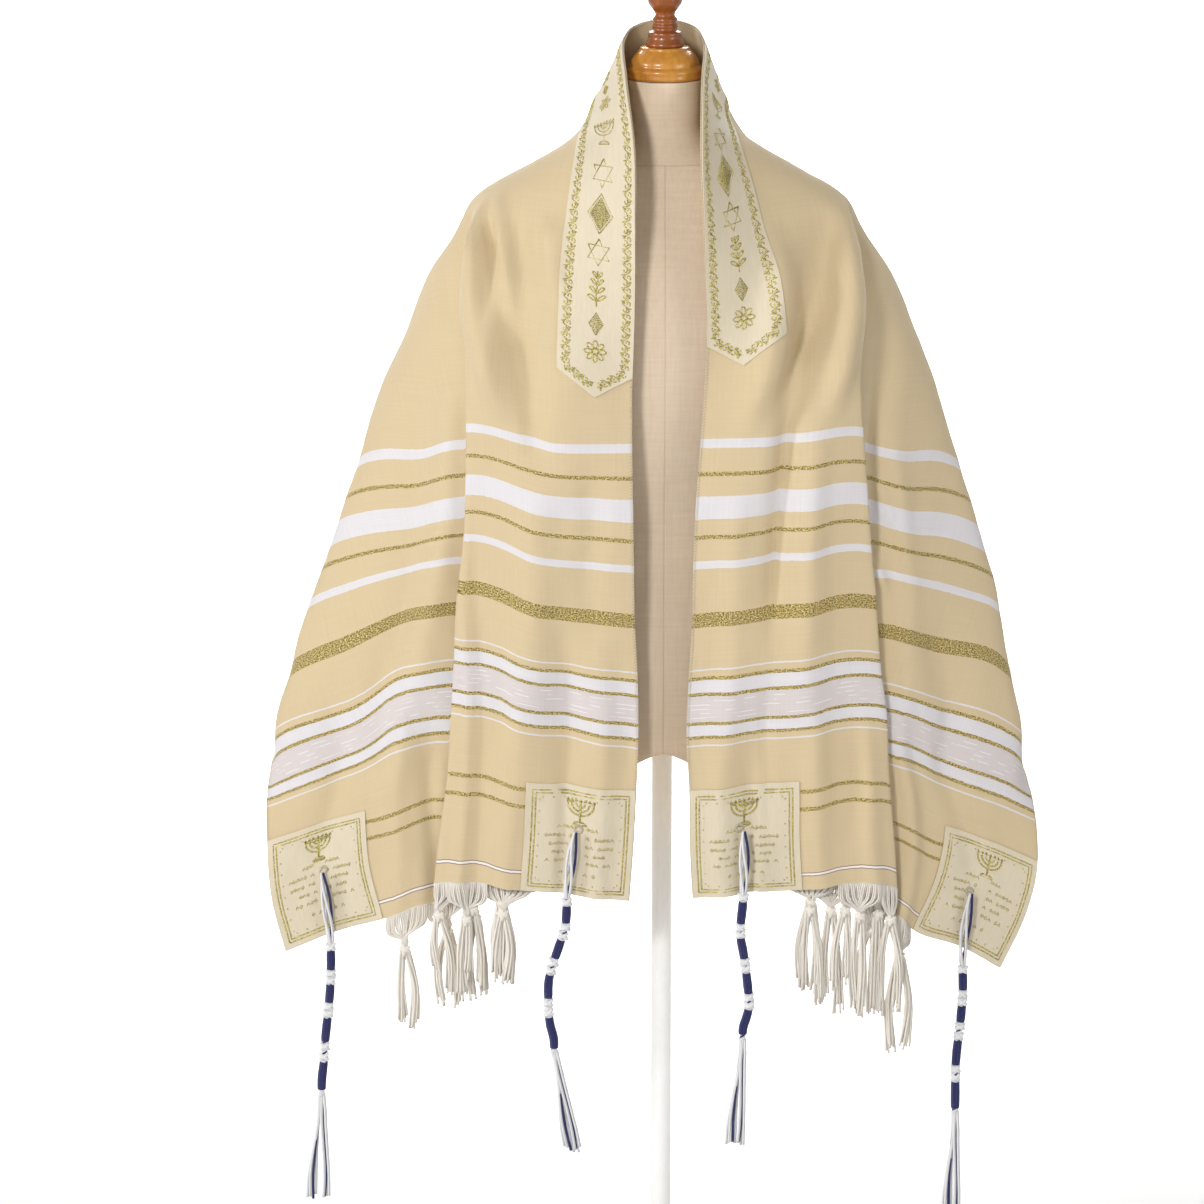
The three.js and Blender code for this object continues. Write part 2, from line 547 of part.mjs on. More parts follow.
// A turned piece, from its profile as [radius, height above its underside], upright on the form's axis.
function turned(profile, count, up) {
  const points = profile.map(([radius, height]) => new THREE.Vector2(radius, height));
  return new THREE.LatheGeometry(points, count).rotateX(Math.PI / 2).translate(0, 0, up);
}

const capProfile = [
  [0, 0], [36.5, 0], [38, 1.5], [38, 10], [36.6, 12], [34.8, 13.2], [34.2, 17], [31.4, 22.6], [27, 27.4],
  [25, 29.4], [24.4, 32 - SEAM], [0, 32 - SEAM],
];
const knobProfile = [
  [0, 0], [19, 0], [19.5, 2], [18.4, 5], [16.8, 9], [16.3, 14.5], [13, 16.5], [12.4, 18.4], [13.4, 20.6],
  [12.4, 22.8], [11.8, 24], [12.6, 26.4], [11.6, 28.8], [10, 31], [10.6, 34], [14.4, 39], [17.2, 44],
  [17.6, 48], [16.6, 54], [13.8, 62], [10.8, 70], [8.8, 77], [8.6, 81], [10.2, 85], [11.2, 89],
  [10.4, 93.4], [6.6, 97], [0, 98.6],
];
const baseProfile = [
  [0, 0], [BASE_RADIUS - 3, 0], [BASE_RADIUS, 3], [BASE_RADIUS, BASE_HEIGHT - 9],
  [BASE_RADIUS - 2, BASE_HEIGHT - 5], [BASE_RADIUS - 7, BASE_HEIGHT - 2],
  [BASE_RADIUS - 14, BASE_HEIGHT], [0, BASE_HEIGHT],
];
const poleHeight = TORSO_FLOOR_Z - BASE_HEIGHT - 2 * SEAM;
addPiece("dress_form_neck_cap", turned(capProfile, 40, CAP_Z), COLOURS.capWood, 0.35);
addPiece("dress_form_knob", turned(knobProfile, 28, KNOB_Z), COLOURS.knobWood, 0.35);
const pole = [[0, 0], [POLE_RADIUS, 0], [POLE_RADIUS, poleHeight], [0, poleHeight]];
addPiece("dress_form_pole", turned(pole, 24, BASE_HEIGHT + SEAM), COLOURS.poleWhite, 0.35);
addPiece("dress_form_base", turned(baseProfile, 56, 0), COLOURS.capWood, 0.4);

export default shawlAndForm;
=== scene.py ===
# A prayer shawl draped over a limbless dress form: what it looks like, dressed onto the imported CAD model.
# Lengths in the tables and the cloth code are millimetres, as in the CAD model; MM turns them to metres.
import math
import random

import bpy
import numpy as np
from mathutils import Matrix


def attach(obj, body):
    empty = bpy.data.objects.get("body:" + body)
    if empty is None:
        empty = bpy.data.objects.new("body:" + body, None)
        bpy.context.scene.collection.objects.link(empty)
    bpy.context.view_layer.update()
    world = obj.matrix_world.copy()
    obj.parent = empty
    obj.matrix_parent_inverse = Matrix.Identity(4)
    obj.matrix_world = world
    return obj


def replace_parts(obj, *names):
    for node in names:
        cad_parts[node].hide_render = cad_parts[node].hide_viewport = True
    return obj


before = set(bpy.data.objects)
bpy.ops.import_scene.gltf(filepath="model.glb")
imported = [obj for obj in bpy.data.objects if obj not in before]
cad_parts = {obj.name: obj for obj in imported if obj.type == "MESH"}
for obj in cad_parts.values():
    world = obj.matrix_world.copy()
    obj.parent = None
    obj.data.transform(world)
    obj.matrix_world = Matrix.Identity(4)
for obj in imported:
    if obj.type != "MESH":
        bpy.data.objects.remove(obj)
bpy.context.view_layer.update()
random.seed(7)
MM = 0.001

# ---- driving dimensions, shared with the CAD model ----
HALF_LENGTH = 960.0             # from a hem to the centre of the back, along the cloth
LENGTH = 2 * HALF_LENGTH
SHOULDER_RISE = 700.0
TUCK_GAP = 6.0
TUCK_SPREAD = 6.0
TUCK_START = 60.0
TUCK_DROP = 27.0
TUCK_DROP_DEPTH = 14.0
TUCK_SLANT = 0.18
COLLAR_WIDTH = 76.0
COLLAR_POINT = 25.0
COLLAR_END = {"left": 550.0, "right": 582.0}
PATCH_WIDTH = 112.0
PATCH_HEIGHT = 122.0
FRINGE_START = 142.0
SIGN = {"left": -1.0, "right": 1.0}

# One row for each section: its rise, the depth of its tuck, and six guide points as outward, back, up. The
# points are the neck edge, the collar's outer edge, the fold, the flank, the outer turn and the free edge.
SECTIONS = {
    "left": [
        (0, 110, 35, -124, 585, 125, -124, 594, 238, -106, 597, 298, -84, 553, 347, -76, 532, 393, -80, 514),
        (60, 102, 31, -124, 642, 124, -124, 650, 231, -105, 658, 300, -82, 615, 365, -70, 587, 407, -73, 570),
        (120, 93, 28, -124, 702, 122, -124, 710, 223, -104, 719, 300, -80, 674, 378, -66, 640, 411, -65, 628),
        (180, 88, 26, -123, 762, 120, -124, 770, 219, -103, 779, 302, -76, 729, 391, -55, 688, 411, -45, 677),
        (240, 76, 27, -122, 822, 118, -124, 831, 214, -102, 840, 300, -72, 788, 402, -38, 741, 402, -18, 720),
        (300, 68, 30, -122, 882, 114, -124, 891, 209, -101, 901, 290, -70, 846, 386, -28, 801, 370, 12, 742),
        (360, 59, 31, -121, 942, 112, -124, 952, 204, -100, 962, 278, -68, 904, 366, -20, 860, 345, 32, 770),
        (420, 49, 32, -121, 1002, 110, -124, 1012, 203, -99, 1022, 266, -64, 970, 339, -14, 932, 315, 48, 800),
        (480, 38, 33, -120, 1062, 108, -124, 1073, 202, -97, 1083, 256, -58, 1038, 311, -10, 1011, 280, 70, 845),
        (540, 24, 33, -119, 1122, 107, -124, 1134, 202, -88, 1143, 243, -48, 1113, 281, -8, 1099, 262, 106, 862),
        (600, 12, 31, -119, 1182, 104, -112, 1190, 199, -66, 1200, 228, -36, 1186, 250, -4, 1172, 236, 126, 878),
        (650, 1, 30, -117, 1232, 100, -98, 1240, 196, -38, 1249, 214, -18, 1246, 225, 4, 1235, 208, 124, 890),
        (700, 0, 30, -113, 1281, 97, -80, 1291, 192, -4, 1290, 197, 16, 1285, 199, 40, 1262, 190, 103, 900),
        (760, 0, 30, -97, 1350, 86, -52, 1346, 160, 18, 1310, 179, 50, 1280, 187, 74, 1225, 178, 104, 905),
        (830, 0, 38, -50, 1420, 76, -6, 1375, 114, 54, 1314, 147, 80, 1272, 156, 92, 1215, 148, 108, 898),
        (890, 0, 40, 8, 1452, 65, 37, 1389, 87, 78, 1318, 98, 92, 1266, 102, 99, 1210, 98, 111, 893),
        (925, 0, 29, 42, 1461, 48, 63, 1392, 58, 88, 1313, 62, 97, 1262, 64, 103, 1205, 62, 113, 889),
        (960, 0, 0, 62, 1466, 0, 80, 1393, 0, 96, 1312, 0, 103, 1260, 0, 107, 1202, 0, 115, 887)],
    "right": [
        (0, 124, 30, -124, 588, 122, -124, 595, 244, -106, 590, 268, -86, 542, 318, -74, 514, 354, -69, 491),
        (60, 110, 27, -124, 642, 120, -124, 648, 239, -105, 651, 284, -82, 600, 342, -69, 568, 379, -63, 546),
        (120, 103, 26, -124, 702, 118, -124, 710, 233, -104, 712, 289, -78, 656, 354, -64, 622, 391, -57, 603),
        (180, 102, 23, -123, 762, 116, -124, 770, 230, -103, 773, 290, -74, 717, 362, -54, 681, 386, -42, 664),
        (240, 91, 25, -122, 822, 114, -124, 831, 222, -102, 835, 290, -72, 781, 372, -36, 735, 374, -8, 702),
        (300, 83, 28, -122, 882, 112, -124, 891, 217, -101, 896, 282, -70, 842, 360, -28, 802, 347, 12, 745),
        (360, 72, 29, -121, 942, 110, -124, 952, 211, -100, 957, 273, -68, 905, 344, -20, 871, 322, 32, 782),
        (420, 60, 31, -121, 1002, 108, -124, 1012, 206, -99, 1019, 260, -64, 970, 320, -14, 946, 295, 48, 812),
        (480, 49, 35, -120, 1062, 108, -124, 1073, 201, -97, 1080, 249, -58, 1038, 297, -10, 1016, 265, 70, 852),
        (540, 33, 39, -119, 1122, 110, -116, 1132, 197, -88, 1140, 236, -48, 1113, 271, -8, 1100, 248, 106, 866),
        (600, 18, 41, -119, 1182, 110, -98, 1190, 192, -66, 1199, 221, -36, 1187, 243, -4, 1175, 224, 126, 880),
        (650, 1, 39, -117, 1232, 103, -82, 1240, 186, -38, 1249, 205, -18, 1246, 216, 4, 1237, 198, 124, 892),
        (700, 0, 37, -113, 1281, 92, -63, 1291, 184, -4, 1290, 189, 16, 1285, 191, 40, 1262, 181, 103, 900),
        (760, 0, 34, -97, 1350, 70, -40, 1349, 152, 18, 1310, 171, 50, 1280, 178, 74, 1225, 170, 104, 905),
        (830, 0, 36, -50, 1419, 63, 1, 1375, 114, 54, 1316, 140, 80, 1272, 149, 92, 1215, 141, 108, 898),
        (890, 0, 38, 8, 1451, 59, 37, 1390, 83, 78, 1318, 93, 92, 1266, 97, 99, 1210, 94, 111, 893),
        (925, 0, 28, 42, 1461, 44, 63, 1392, 55, 88, 1313, 59, 97, 1262, 61, 103, 1205, 60, 113, 889),
        (960, 0, 0, 62, 1466, 0, 80, 1393, 0, 96, 1312, 0, 103, 1260, 0, 107, 1202, 0, 115, 887)],
}
# The CAD model's own hollows, and softer folds. Each row has the rise and the distance in of
# one end, those of the other, the height (a ridge is above nought, a trough below) and the reach.
CREASES = {"left": [(690, 144, 490, 90, 8, 20)], "right": [(690, 146, 490, 76, 16, 20)]}
# The first rows of a side are its front panel's. Its side panel follows 200 to 290 of hidden tuck. Folds
# "round" the shoulders and back go by the distance from the left hem in place of the rise.
FOLDS = {
    "left": [
        (722, 138, 600, 92, -5, 12), (716, 156, 560, 112, 7, 11), (704, 180, 470, 132, 9.5, 13),
        (640, 128, 430, 92, -5, 13), (712, 172, 540, 170, 4.5, 8), (700, 156, 540, 150, -4.5, 6),
        (700, 92, 610, 84, 4.4, 13), (660, 190, 380, 182, -3.4, 9), (500, 150, 120, 148, -3.4, 17),
        (430, 176, -160, 170, 4, 11), (480, 96, 60, 112, 3.4, 17), (360, 70, -160, 78, -4.2, 15),
        (330, 120, -160, 132, 3.6, 13), (300, 36, -160, 34, 3, 13), (250, 158, -160, 160, -3.8, 10),
        (470, 40, 250, 48, -2.4, 15), (560, 245, 330, 345, 2.6, 17), (560, 290, 160, 470, -2.6, 22),
        (470, 265, 60, 500, 3, 19), (400, 270, -120, 455, -3, 15), (330, 400, -120, 500, 3.2, 15),
        (280, 470, 40, 560, -2.6, 15), (520, 370, 300, 540, 2.6, 22), (220, 395, -120, 440, -3.2, 12)],
    "right": [
        (700, 146, 520, 82, -6.5, 10), (560, 92, 250, 84, -8.5, 13), (712, 176, 470, 124, 8, 14),
        (690, 92, 480, 46, 7.5, 17), (500, 118, 160, 118, 4.5, 15), (470, 40, 120, 46, 3, 14),
        (420, 160, 40, 158, -4, 13), (300, 84, -160, 92, -4, 13), (260, 128, -160, 132, 3.8, 12),
        (230, 34, -160, 30, 3, 12), (200, 182, -160, 184, 3.2, 10), (240, 62, -160, 60, -3, 10),
        (630, 224, 300, 396, -4.4, 16), (560, 262, 330, 345, -3.4, 11), (540, 290, 160, 480, 3.2, 21),
        (430, 292, -120, 470, -3.6, 15), (452, 312, 400, 350, 2.8, 6), (372, 322, 332, 368, 2.6, 6),
        (350, 385, -120, 520, 3.6, 15), (300, 460, 40, 560, -3, 14), (540, 370, 330, 540, 2.8, 22),
        (200, 390, -120, 440, 3, 12)],
    "round": [
        (905, 120, 902, 560, 4, 30), (842, 160, 806, 590, 3.4, 22), (760, 190, 748, 420, 4.5, 20),
        (968, 150, 976, 590, 3.6, 26), (1030, 140, 1052, 580, 4, 26), (1092, 160, 1124, 590, 3.2, 20),
        (1160, 200, 1176, 420, 4.5, 20)],
}
CLOTH_THICKNESS = 1.1
SATIN_THICKNESS = 1.0
SATIN_LIFT = 1.6                # how far what is sewn on stands off the cloth's middle surface
SINK = 1.3                      # how deep a trough may go where the cloth lies on the form
TUCK_SINK = 3.6                 # and where it hangs in front of the tuck
FRONT_RESTS, SIDE_RESTS = 560, 650      # above these rises the front and the side panels lie on the form


# ---- camera ----
def place_object(name, data, location=(0.0, 0.0, 0.0)):
    holder = bpy.data.objects.new(name, data)
    holder.location = location
    bpy.context.collection.objects.link(holder)
    return holder


def add_camera():
    camera = bpy.data.cameras.new("camera")
    camera.lens = 119.2
    camera.sensor_width = 36.0
    camera.clip_end = 60.0
    holder = place_object("camera", camera, (-0.063, -4.0, 1.9466))
    holder.rotation_euler = (math.radians(74.93), 0.0, 0.0)
    bpy.context.scene.camera = holder


# ---- the draped cloth as a surface ----
def together(*values):
    return np.broadcast_arrays(*[np.asarray(value, float) for value in values])


def around(count):
    """Angles evenly round a turn."""
    return np.linspace(0, 2 * np.pi, count, endpoint=False)


def smooth(x):
    x = np.clip(x, 0.0, 1.0)
    return x * x * (3.0 - 2.0 * x)


def run(path):
    """The length along a path up to each of its points."""
    steps = np.linalg.norm(np.diff(path, axis=-2), axis=-1)
    return np.concatenate([np.zeros((*steps.shape[:-1], 1)), np.cumsum(steps, axis=-1)], axis=-1)


def hermite(f, span, v0, v1, t0, t1):
    return ((2 * f ** 3 - 3 * f ** 2 + 1) * v0 + (f ** 3 - 2 * f ** 2 + f) * span * t0
            + (3 * f ** 2 - 2 * f ** 3) * v1 + (f ** 3 - f ** 2) * span * t1)


def tangents(knots, values):
    """Slopes at the knots, from the parabola through each knot's neighbours."""
    gap = np.diff(knots, axis=-1)[..., None]
    slope = np.diff(values, axis=-2) / gap
    before, after = gap[..., :-1, :], gap[..., 1:, :]
    inner = (slope[..., :-1, :] * after + slope[..., 1:, :] * before) / (before + after)
    return np.concatenate([slope[..., :1, :], inner, slope[..., -1:, :]], axis=-2)


def spline(knots, values, at):
    """Cubic through values at knots. The n places share the knots, or each has its own row of them."""
    knots = np.broadcast_to(knots, (len(at), np.shape(knots)[-1]))
    values = np.broadcast_to(values, (len(at), *np.shape(values)[-2:]))
    slopes = tangents(knots, values)
    rows = np.arange(len(at))
    k = (at[:, None] > knots[:, 1:-1]).sum(axis=1)
    start = knots[rows, k]
    span = (knots[rows, k + 1] - start)[:, None]
    f = (at - start)[:, None] / span
    return hermite(f, span, values[rows, k], values[rows, k + 1], slopes[rows, k], slopes[rows, k + 1])


def side_table(rows):
    """The rises and values of one side, with a mirrored row past the centre of the back."""
    table = np.array(rows, float)
    outward = np.arange(table.shape[1]) % 3 == 2
    past = np.where(outward, -table[-2], table[-2])
    past[0] = LENGTH - past[0]
    rises, values = np.split(np.vstack([table, past]), [1], axis=1)
    return rises[:, 0], values, tangents(rises[:, 0], values)


SIDE_TABLES = {side: side_table(rows) for side, rows in SECTIONS.items()}


class Sections:
    """The sections of one side at n rises."""

    def __init__(self, side, rise):
        self.side, self.sign, self.rise = side, SIGN[side], rise
        rises, values, slopes = SIDE_TABLES[side]
        k = np.clip(np.searchsorted(rises, rise, side="left") - 1, 0, len(rises) - 2)
        span = (rises[k + 1] - rises[k])[:, None]
        f = (rise - rises[k])[:, None] / span
        row = hermite(f, span, values[k], values[k + 1], slopes[k], slopes[k + 1])
        self.tuck = np.maximum(row[:, 0], 0.0)
        self.guides = row[:, 1:].reshape(len(rise), -1, 3) * (self.sign, 1.0, 1.0)
        self.knots = run(self.guides)
        self.gap = TUCK_GAP * smooth((SHOULDER_RISE - rise) / TUCK_START)
        self.fold_at, self.outer_at, self.end = self.knots[:, 2], self.knots[:, 4], self.knots[:, 5]
        self.front_end = self.fold_at - TUCK_SPREAD
        self.side_start = self.fold_at + TUCK_SPREAD
        self.side_width = self.end - self.side_start
        self.drop = TUCK_DROP * self.tuck / (self.tuck + TUCK_DROP_DEPTH)

    def base(self, along):
        point = spline(self.knots, self.guides, along)
        for crease in CREASES[self.side]:
            point[:, 1] += strip(self.rise, along, *crease, round_ends)
        return point

    def layer(self, along, depth, lift):
        point = self.base(along)
        ahead = self.base(along + 0.5) - self.base(along - 0.5)
        inward = np.stack([-ahead[:, 1], ahead[:, 0]], axis=1) * self.sign
        point[:, :2] += inward / np.linalg.norm(inward, axis=1)[:, None] * depth[:, None]
        point[:, 2] += lift
        return point


def round_ends(t):
    return np.sin(np.pi * np.clip(t, 0.0, 1.0))


def soft_ends(t):
    return smooth(t / 0.3) * smooth((1.0 - t) / 0.3)


def strip(rise, along, r0, a0, r1, a1, height, reach, ends):
    """A straight strip of raised or sunk cloth, rounded across and fading at its ends."""
    length = math.hypot(r1 - r0, a1 - a0)
    t = ((rise - r0) * (r1 - r0) + (along - a0) * (a1 - a0)) / length ** 2
    off = ((rise - r0) * (a1 - a0) - (along - a0) * (r1 - r0)) / length
    return height * np.exp(-((off / reach) ** 2)) * ends(t)


# A place across the cloth is 0 to 1 on the front panel, 1 to 2 in the tuck and 2 to 3 on the side panel. In
# the tuck it is 1 to 1.2 in the outer turn, to 1.4 inward, to 1.6 in the inner turn, and to 2 back outward.
def cloth_base(sections, across):
    part = across - 1.0
    tuck, gap = sections.tuck, sections.gap
    radius = gap / 2
    turn_out = np.pi * np.clip(part / 0.2, 0.0, 1.0)
    turn_in = np.pi * np.clip((part - 0.4) / 0.2, 0.0, 1.0)
    left = (1.0 - part) / 0.4
    stages = [part < 0.2, part < 0.4, part < 0.6, part >= 0.6]
    inward = np.select(stages, [
        -radius * np.sin(turn_out), tuck * (part - 0.2) / 0.2, tuck + radius * np.sin(turn_in), tuck * left])
    depth = np.select(stages, [
        radius * (1 - np.cos(turn_out)), gap, gap + radius * (1 - np.cos(turn_in)), 2 * gap])
    lift = np.select(stages, [
        0 * part, TUCK_SLANT * inward, TUCK_SLANT * tuck, TUCK_SLANT * tuck * left - sections.drop * (1 - left)])
    side_along = sections.side_start + (across - 2.0) * sections.side_width
    fade = np.clip((sections.outer_at - side_along) / (sections.outer_at - sections.side_start), 0.0, 1.0) ** 2
    panels = [across <= 1.0, across < 2.0, across >= 2.0]
    along = np.select(panels, [
        across * sections.front_end, sections.fold_at + TUCK_SPREAD * (2 * part - 1) - inward, side_along])
    depth = np.select(panels, [0.0, depth, 2 * gap * fade])
    lift = np.select(panels, [0.0, lift, -sections.drop * fade])
    return sections.layer(along, depth, lift)


def distance_in(sections, across):
    """Distance from the neck edge, measured along the cloth."""
    part = np.clip(across - 1.0, 0.0, 1.0)
    hidden = np.clip((part - 0.2) / 0.2, 0, 1) + np.clip((part - 0.6) / 0.4, 0, 1)
    return (np.clip(across, 0, 1) * sections.front_end + 2 * TUCK_SPREAD * part + sections.tuck * hidden
            + np.clip(across - 2.0, 0, 1) * sections.side_width)


def rumple(distance, along):
    """Fine unevenness, from waves in a few directions."""
    total = 0.0
    for step, tilt, phase, height in [
            (83, 0.22, 0.4, 0.50), (61, -0.31, 2.1, 0.42), (47, 0.55, 4.0, 0.30), (34, -0.12, 1.2, 0.20),
            (27, 0.9, 5.1, 0.12), (22, -0.75, 3.3, 0.10)]:
        bend = 0.7 * np.sin(distance / 97.0 + phase * 2)
        total = total + height * np.sin(2 * np.pi * (along + tilt * distance) / step + phase + bend)
    return total


def round_distance(side, rise):
    """The distance round the cloth from the left hem."""
    return LENGTH - rise if side == "right" else rise


def sunk(height, limit):
    """Troughs that get no deeper than the limit."""
    return np.where(height < 0, height / (1 - height / limit), height)


def fold_height(sections, across):
    rise = sections.rise
    along = distance_in(sections, across)
    distance = round_distance(sections.side, rise)
    height = 0.8 * rumple(distance, along) * (0.45 + 0.55 * smooth((640 - rise) / 300))
    for side, folds in FOLDS.items():
        for r0, a0, r1, a1, tall, reach in folds:
            d0, d1 = round_distance(side, r0), round_distance(side, r1)
            height = height + strip(distance, along, d0, a0, d1, a1, 2.0 * tall, reach, soft_ends)
    # Where the cloth lies on the form it can sink only a little.
    side_rests = np.where(across > 1.5, smooth((rise - SIDE_RESTS) / 60), 1.0)
    resting = smooth((rise - FRONT_RESTS) / 60) * side_rests
    resting = resting * smooth((along - 60) / 40)
    height = height + (sunk(height, SINK) - height) * resting
    # The front panel stays clear of the tuck behind it, and the tuck itself is flat.
    over_tuck = smooth((along - sections.fold_at + sections.tuck + 30) / 20) * (across <= 1.0)
    height = np.where(height < 0, height / (1 - over_tuck * height / TUCK_SINK), height)
    return height * smooth((np.abs(across - 1.5) - 0.3) / 0.2)


def cloth_points(side, rise, across, lift=0.0):
    """Points on the draped cloth's middle surface, raised off it by a lift, in millimetres."""
    rise, across, lift = together(rise, across, lift)
    shape = rise.shape
    rise, across, lift = rise.ravel(), across.ravel(), lift.ravel()
    here = Sections(side, rise)
    point = cloth_base(here, across)
    up = cloth_base(Sections(side, rise + 1.0), across) - cloth_base(Sections(side, rise - 1.0), across)
    out = cloth_base(here, across + 0.004) - cloth_base(here, across - 0.004)
    normal = np.cross(out, up) * here.sign
    normal /= np.linalg.norm(normal, axis=1)[:, None]
    point = point + normal * (fold_height(here, across) + lift)[:, None]
    return point.reshape(*shape, 3)


def rise_of(distance):
    return np.where(distance <= HALF_LENGTH, distance, LENGTH - distance)


def by_side(find, distance, *others):
    """What find gives for each side's places, laid round the cloth from the left hem to the right hem."""
    distance, *others = together(distance, *others)
    left = distance <= HALF_LENGTH
    found = [find(side, rise_of(distance[chosen]), *[other[chosen] for other in others])
             for side, chosen in (("left", left), ("right", ~left))]
    gathered = np.empty((*distance.shape, *found[0].shape[1:]))
    gathered[left], gathered[~left] = found
    return gathered


def across_at(side, rise, inset, edge):
    """The place across that lies at an inset from the front edge or from the outer one."""
    sections = Sections(side, rise.ravel())
    if edge == "front":
        across = inset.ravel() / sections.front_end
    else:
        across = 3.0 - inset.ravel() / sections.side_width
    return across.reshape(rise.shape)


def edge_points(inset, distance, lift, edge="front"):
    """Points by their inset from an edge and the distance round the cloth."""
    across = by_side(lambda side, rise, inset: across_at(side, rise, inset, edge), distance, inset)
    return by_side(cloth_points, distance, across, lift)


def patch_points(side, place, inset, rise, lift):
    inset, rise, lift = together(inset, rise, lift)
    return cloth_points(side, rise, across_at(side, rise, inset, place), lift)


# ---- meshes ----
def finish_piece(name, vertices, faces, material, uv, tone=None, sharp=None):
    mesh = bpy.data.meshes.new(name)
    mesh.from_pydata((vertices * MM).tolist(), [], faces)
    corners = np.empty(len(mesh.loops), dtype=np.int32)
    mesh.loops.foreach_get("vertex_index", corners)
    mesh.uv_layers.new(name="cloth").data.foreach_set("uv", (uv * MM)[corners].ravel())
    if tone is not None:
        mesh.attributes.new("tone", "FLOAT", "POINT").data.foreach_set("value", tone.astype(np.float32))
    if sharp is not None:
        ends = np.empty(2 * len(mesh.edges), dtype=np.int32)
        mesh.edges.foreach_get("vertices", ends)
        crease = sharp[ends.reshape(-1, 2)].all(axis=1)
        mesh.attributes.new("sharp_edge", "BOOLEAN", "EDGE").data.foreach_set("value", crease)
    mesh.polygons.foreach_set("use_smooth", np.ones(len(mesh.polygons), dtype=bool))
    mesh.validate()
    mesh.materials.append(MATERIALS[material])
    piece = place_object(name, mesh)
    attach(piece, "root")
    return piece


def shell(name, grid, inset, distance, thickness, material):
    """A closed thin wall through a grid of points. Its uv is how far in and how far along each lies."""
    rows, columns = grid.shape[:2]
    normal = np.cross(np.gradient(grid, axis=1), np.gradient(grid, axis=0))
    normal *= thickness / 2 / np.linalg.norm(normal, axis=2)[..., None]
    vertices = np.concatenate([(grid + normal).reshape(-1, 3), (grid - normal).reshape(-1, 3)])
    under = rows * columns
    index = np.arange(under).reshape(rows, columns)
    a, b, c, d = index[:-1, :-1], index[:-1, 1:], index[1:, 1:], index[1:, :-1]
    upper = np.stack([a, b, c, d], axis=-1).reshape(-1, 4)
    lower = np.stack([a, d, c, b], axis=-1).reshape(-1, 4) + under
    ring = np.concatenate([index[0, :], index[1:, -1], index[-1, -2::-1], index[-2:0:-1, 0]])
    after = np.roll(ring, -1)
    rim = np.stack([after, ring, ring + under, after + under], axis=-1)
    sharp = np.zeros(len(vertices), dtype=bool)
    sharp[ring] = sharp[ring + under] = True
    faces = np.concatenate([upper, lower, rim]).tolist()
    uv = np.tile(np.stack([inset.ravel(), distance.ravel()], axis=1), (2, 1))
    return finish_piece(name, vertices, faces, material, uv, sharp=sharp)


class Soup:
    """Many closed tubes gathered into one mesh."""

    def __init__(self):
        self.vertices, self.faces, self.tones, self.uvs, self.count = [], [], [], [], 0

    def rings(self, rings, tone=0.0, uv=(0.0, 0.0)):
        """A closed body through n rings of k points."""
        n, k = rings.shape[:2]
        index = np.arange(n * k).reshape(n, k) + self.count
        ahead = np.roll(index, -1, axis=1)
        quads = np.stack([index[:-1], ahead[:-1], ahead[1:], index[1:]], axis=-1).reshape(-1, 4)
        self.faces += [*quads.tolist(), index[0, ::-1].tolist(), index[-1].tolist()]
        self.vertices.append(rings.reshape(-1, 3))
        self.tones.append(np.broadcast_to(tone, (n, k)).ravel())
        self.uvs.append(np.broadcast_to(uv, (n, k, 2)).reshape(-1, 2))
        self.count += n * k

    def tube(self, path, radius, sides=6, tone=0.0, girth=None):
        """A tube along a path. The radius is one number, or one for each point or each corner."""
        radius = np.asarray(radius, float)
        size = np.broadcast_to(radius if radius.ndim == 2 else radius[..., None], (len(path), sides))
        turn = around(sides)
        first, second = cross_directions(path)
        rings = beside(path[:, None], first[:, None], second[:, None], np.cos(turn) * size, np.sin(turn) * size)
        uv = np.broadcast_arrays(turn * (girth or radius.mean()), run(path)[:, None])
        self.rings(rings, tone, np.stack(uv, axis=-1))

    def build(self, name, material):
        return finish_piece(
            name, np.concatenate(self.vertices), self.faces, material,
            np.concatenate(self.uvs), tone=np.concatenate(self.tones))


def cross_directions(path):
    """Two directions square to a path at each of its points, which turn as little as they can."""
    along = np.gradient(path, axis=0)
    along /= np.linalg.norm(along, axis=1)[:, None]
    current = np.array([0.0, -1.0, 0.0]) if abs(along[0][1]) < 0.9 else np.array([1.0, 0.0, 0.0])
    first = np.empty_like(path)
    for k, direction in enumerate(along):
        current = current - direction * current.dot(direction)
        current = current / np.linalg.norm(current)
        first[k] = current
    return first, np.cross(along, first)


def beside(path, first, second, u, v):
    """A path moved off itself by u and v along its two cross directions."""
    return path + first * u[..., None] + second * v[..., None]


def resample(points, step):
    """A smooth curve through points, at an even step."""
    points = np.asarray(points, float)
    chord = run(points)
    curve = spline(chord, points, np.linspace(0, chord[-1], 8 * len(points)))
    reach = run(curve)
    count = max(4, int(round(reach[-1] / step)) + 1)
    at = np.linspace(0, reach[-1], count)
    return np.stack([np.interp(at, reach, column) for column in curve.T], axis=1)


# ---- materials ----
def srgb(*channels):
    linear = [c / 255 / 12.92 if c / 255 <= 0.04045 else ((c / 255 + 0.055) / 1.055) ** 2.4 for c in channels]
    return (*linear, 1.0)


class Nodes:
    """A short way to write the nodes of a material or a world."""

    def __init__(self, owner, surface):
        owner.use_nodes = True
        self.tree = owner.node_tree
        self.surface = self.tree.nodes[surface].inputs

    def node(self, kind, sockets=None, **settings):
        made = self.tree.nodes.new(kind)
        for name, value in settings.items():
            setattr(made, name, value)
        for socket, value in (sockets or {}).items():
            self.feed(made.inputs[socket], value)
        return made.outputs

    def feed(self, socket, value):
        if isinstance(value, bpy.types.NodeSocket):
            self.tree.links.new(value, socket)
        else:
            socket.default_value = value


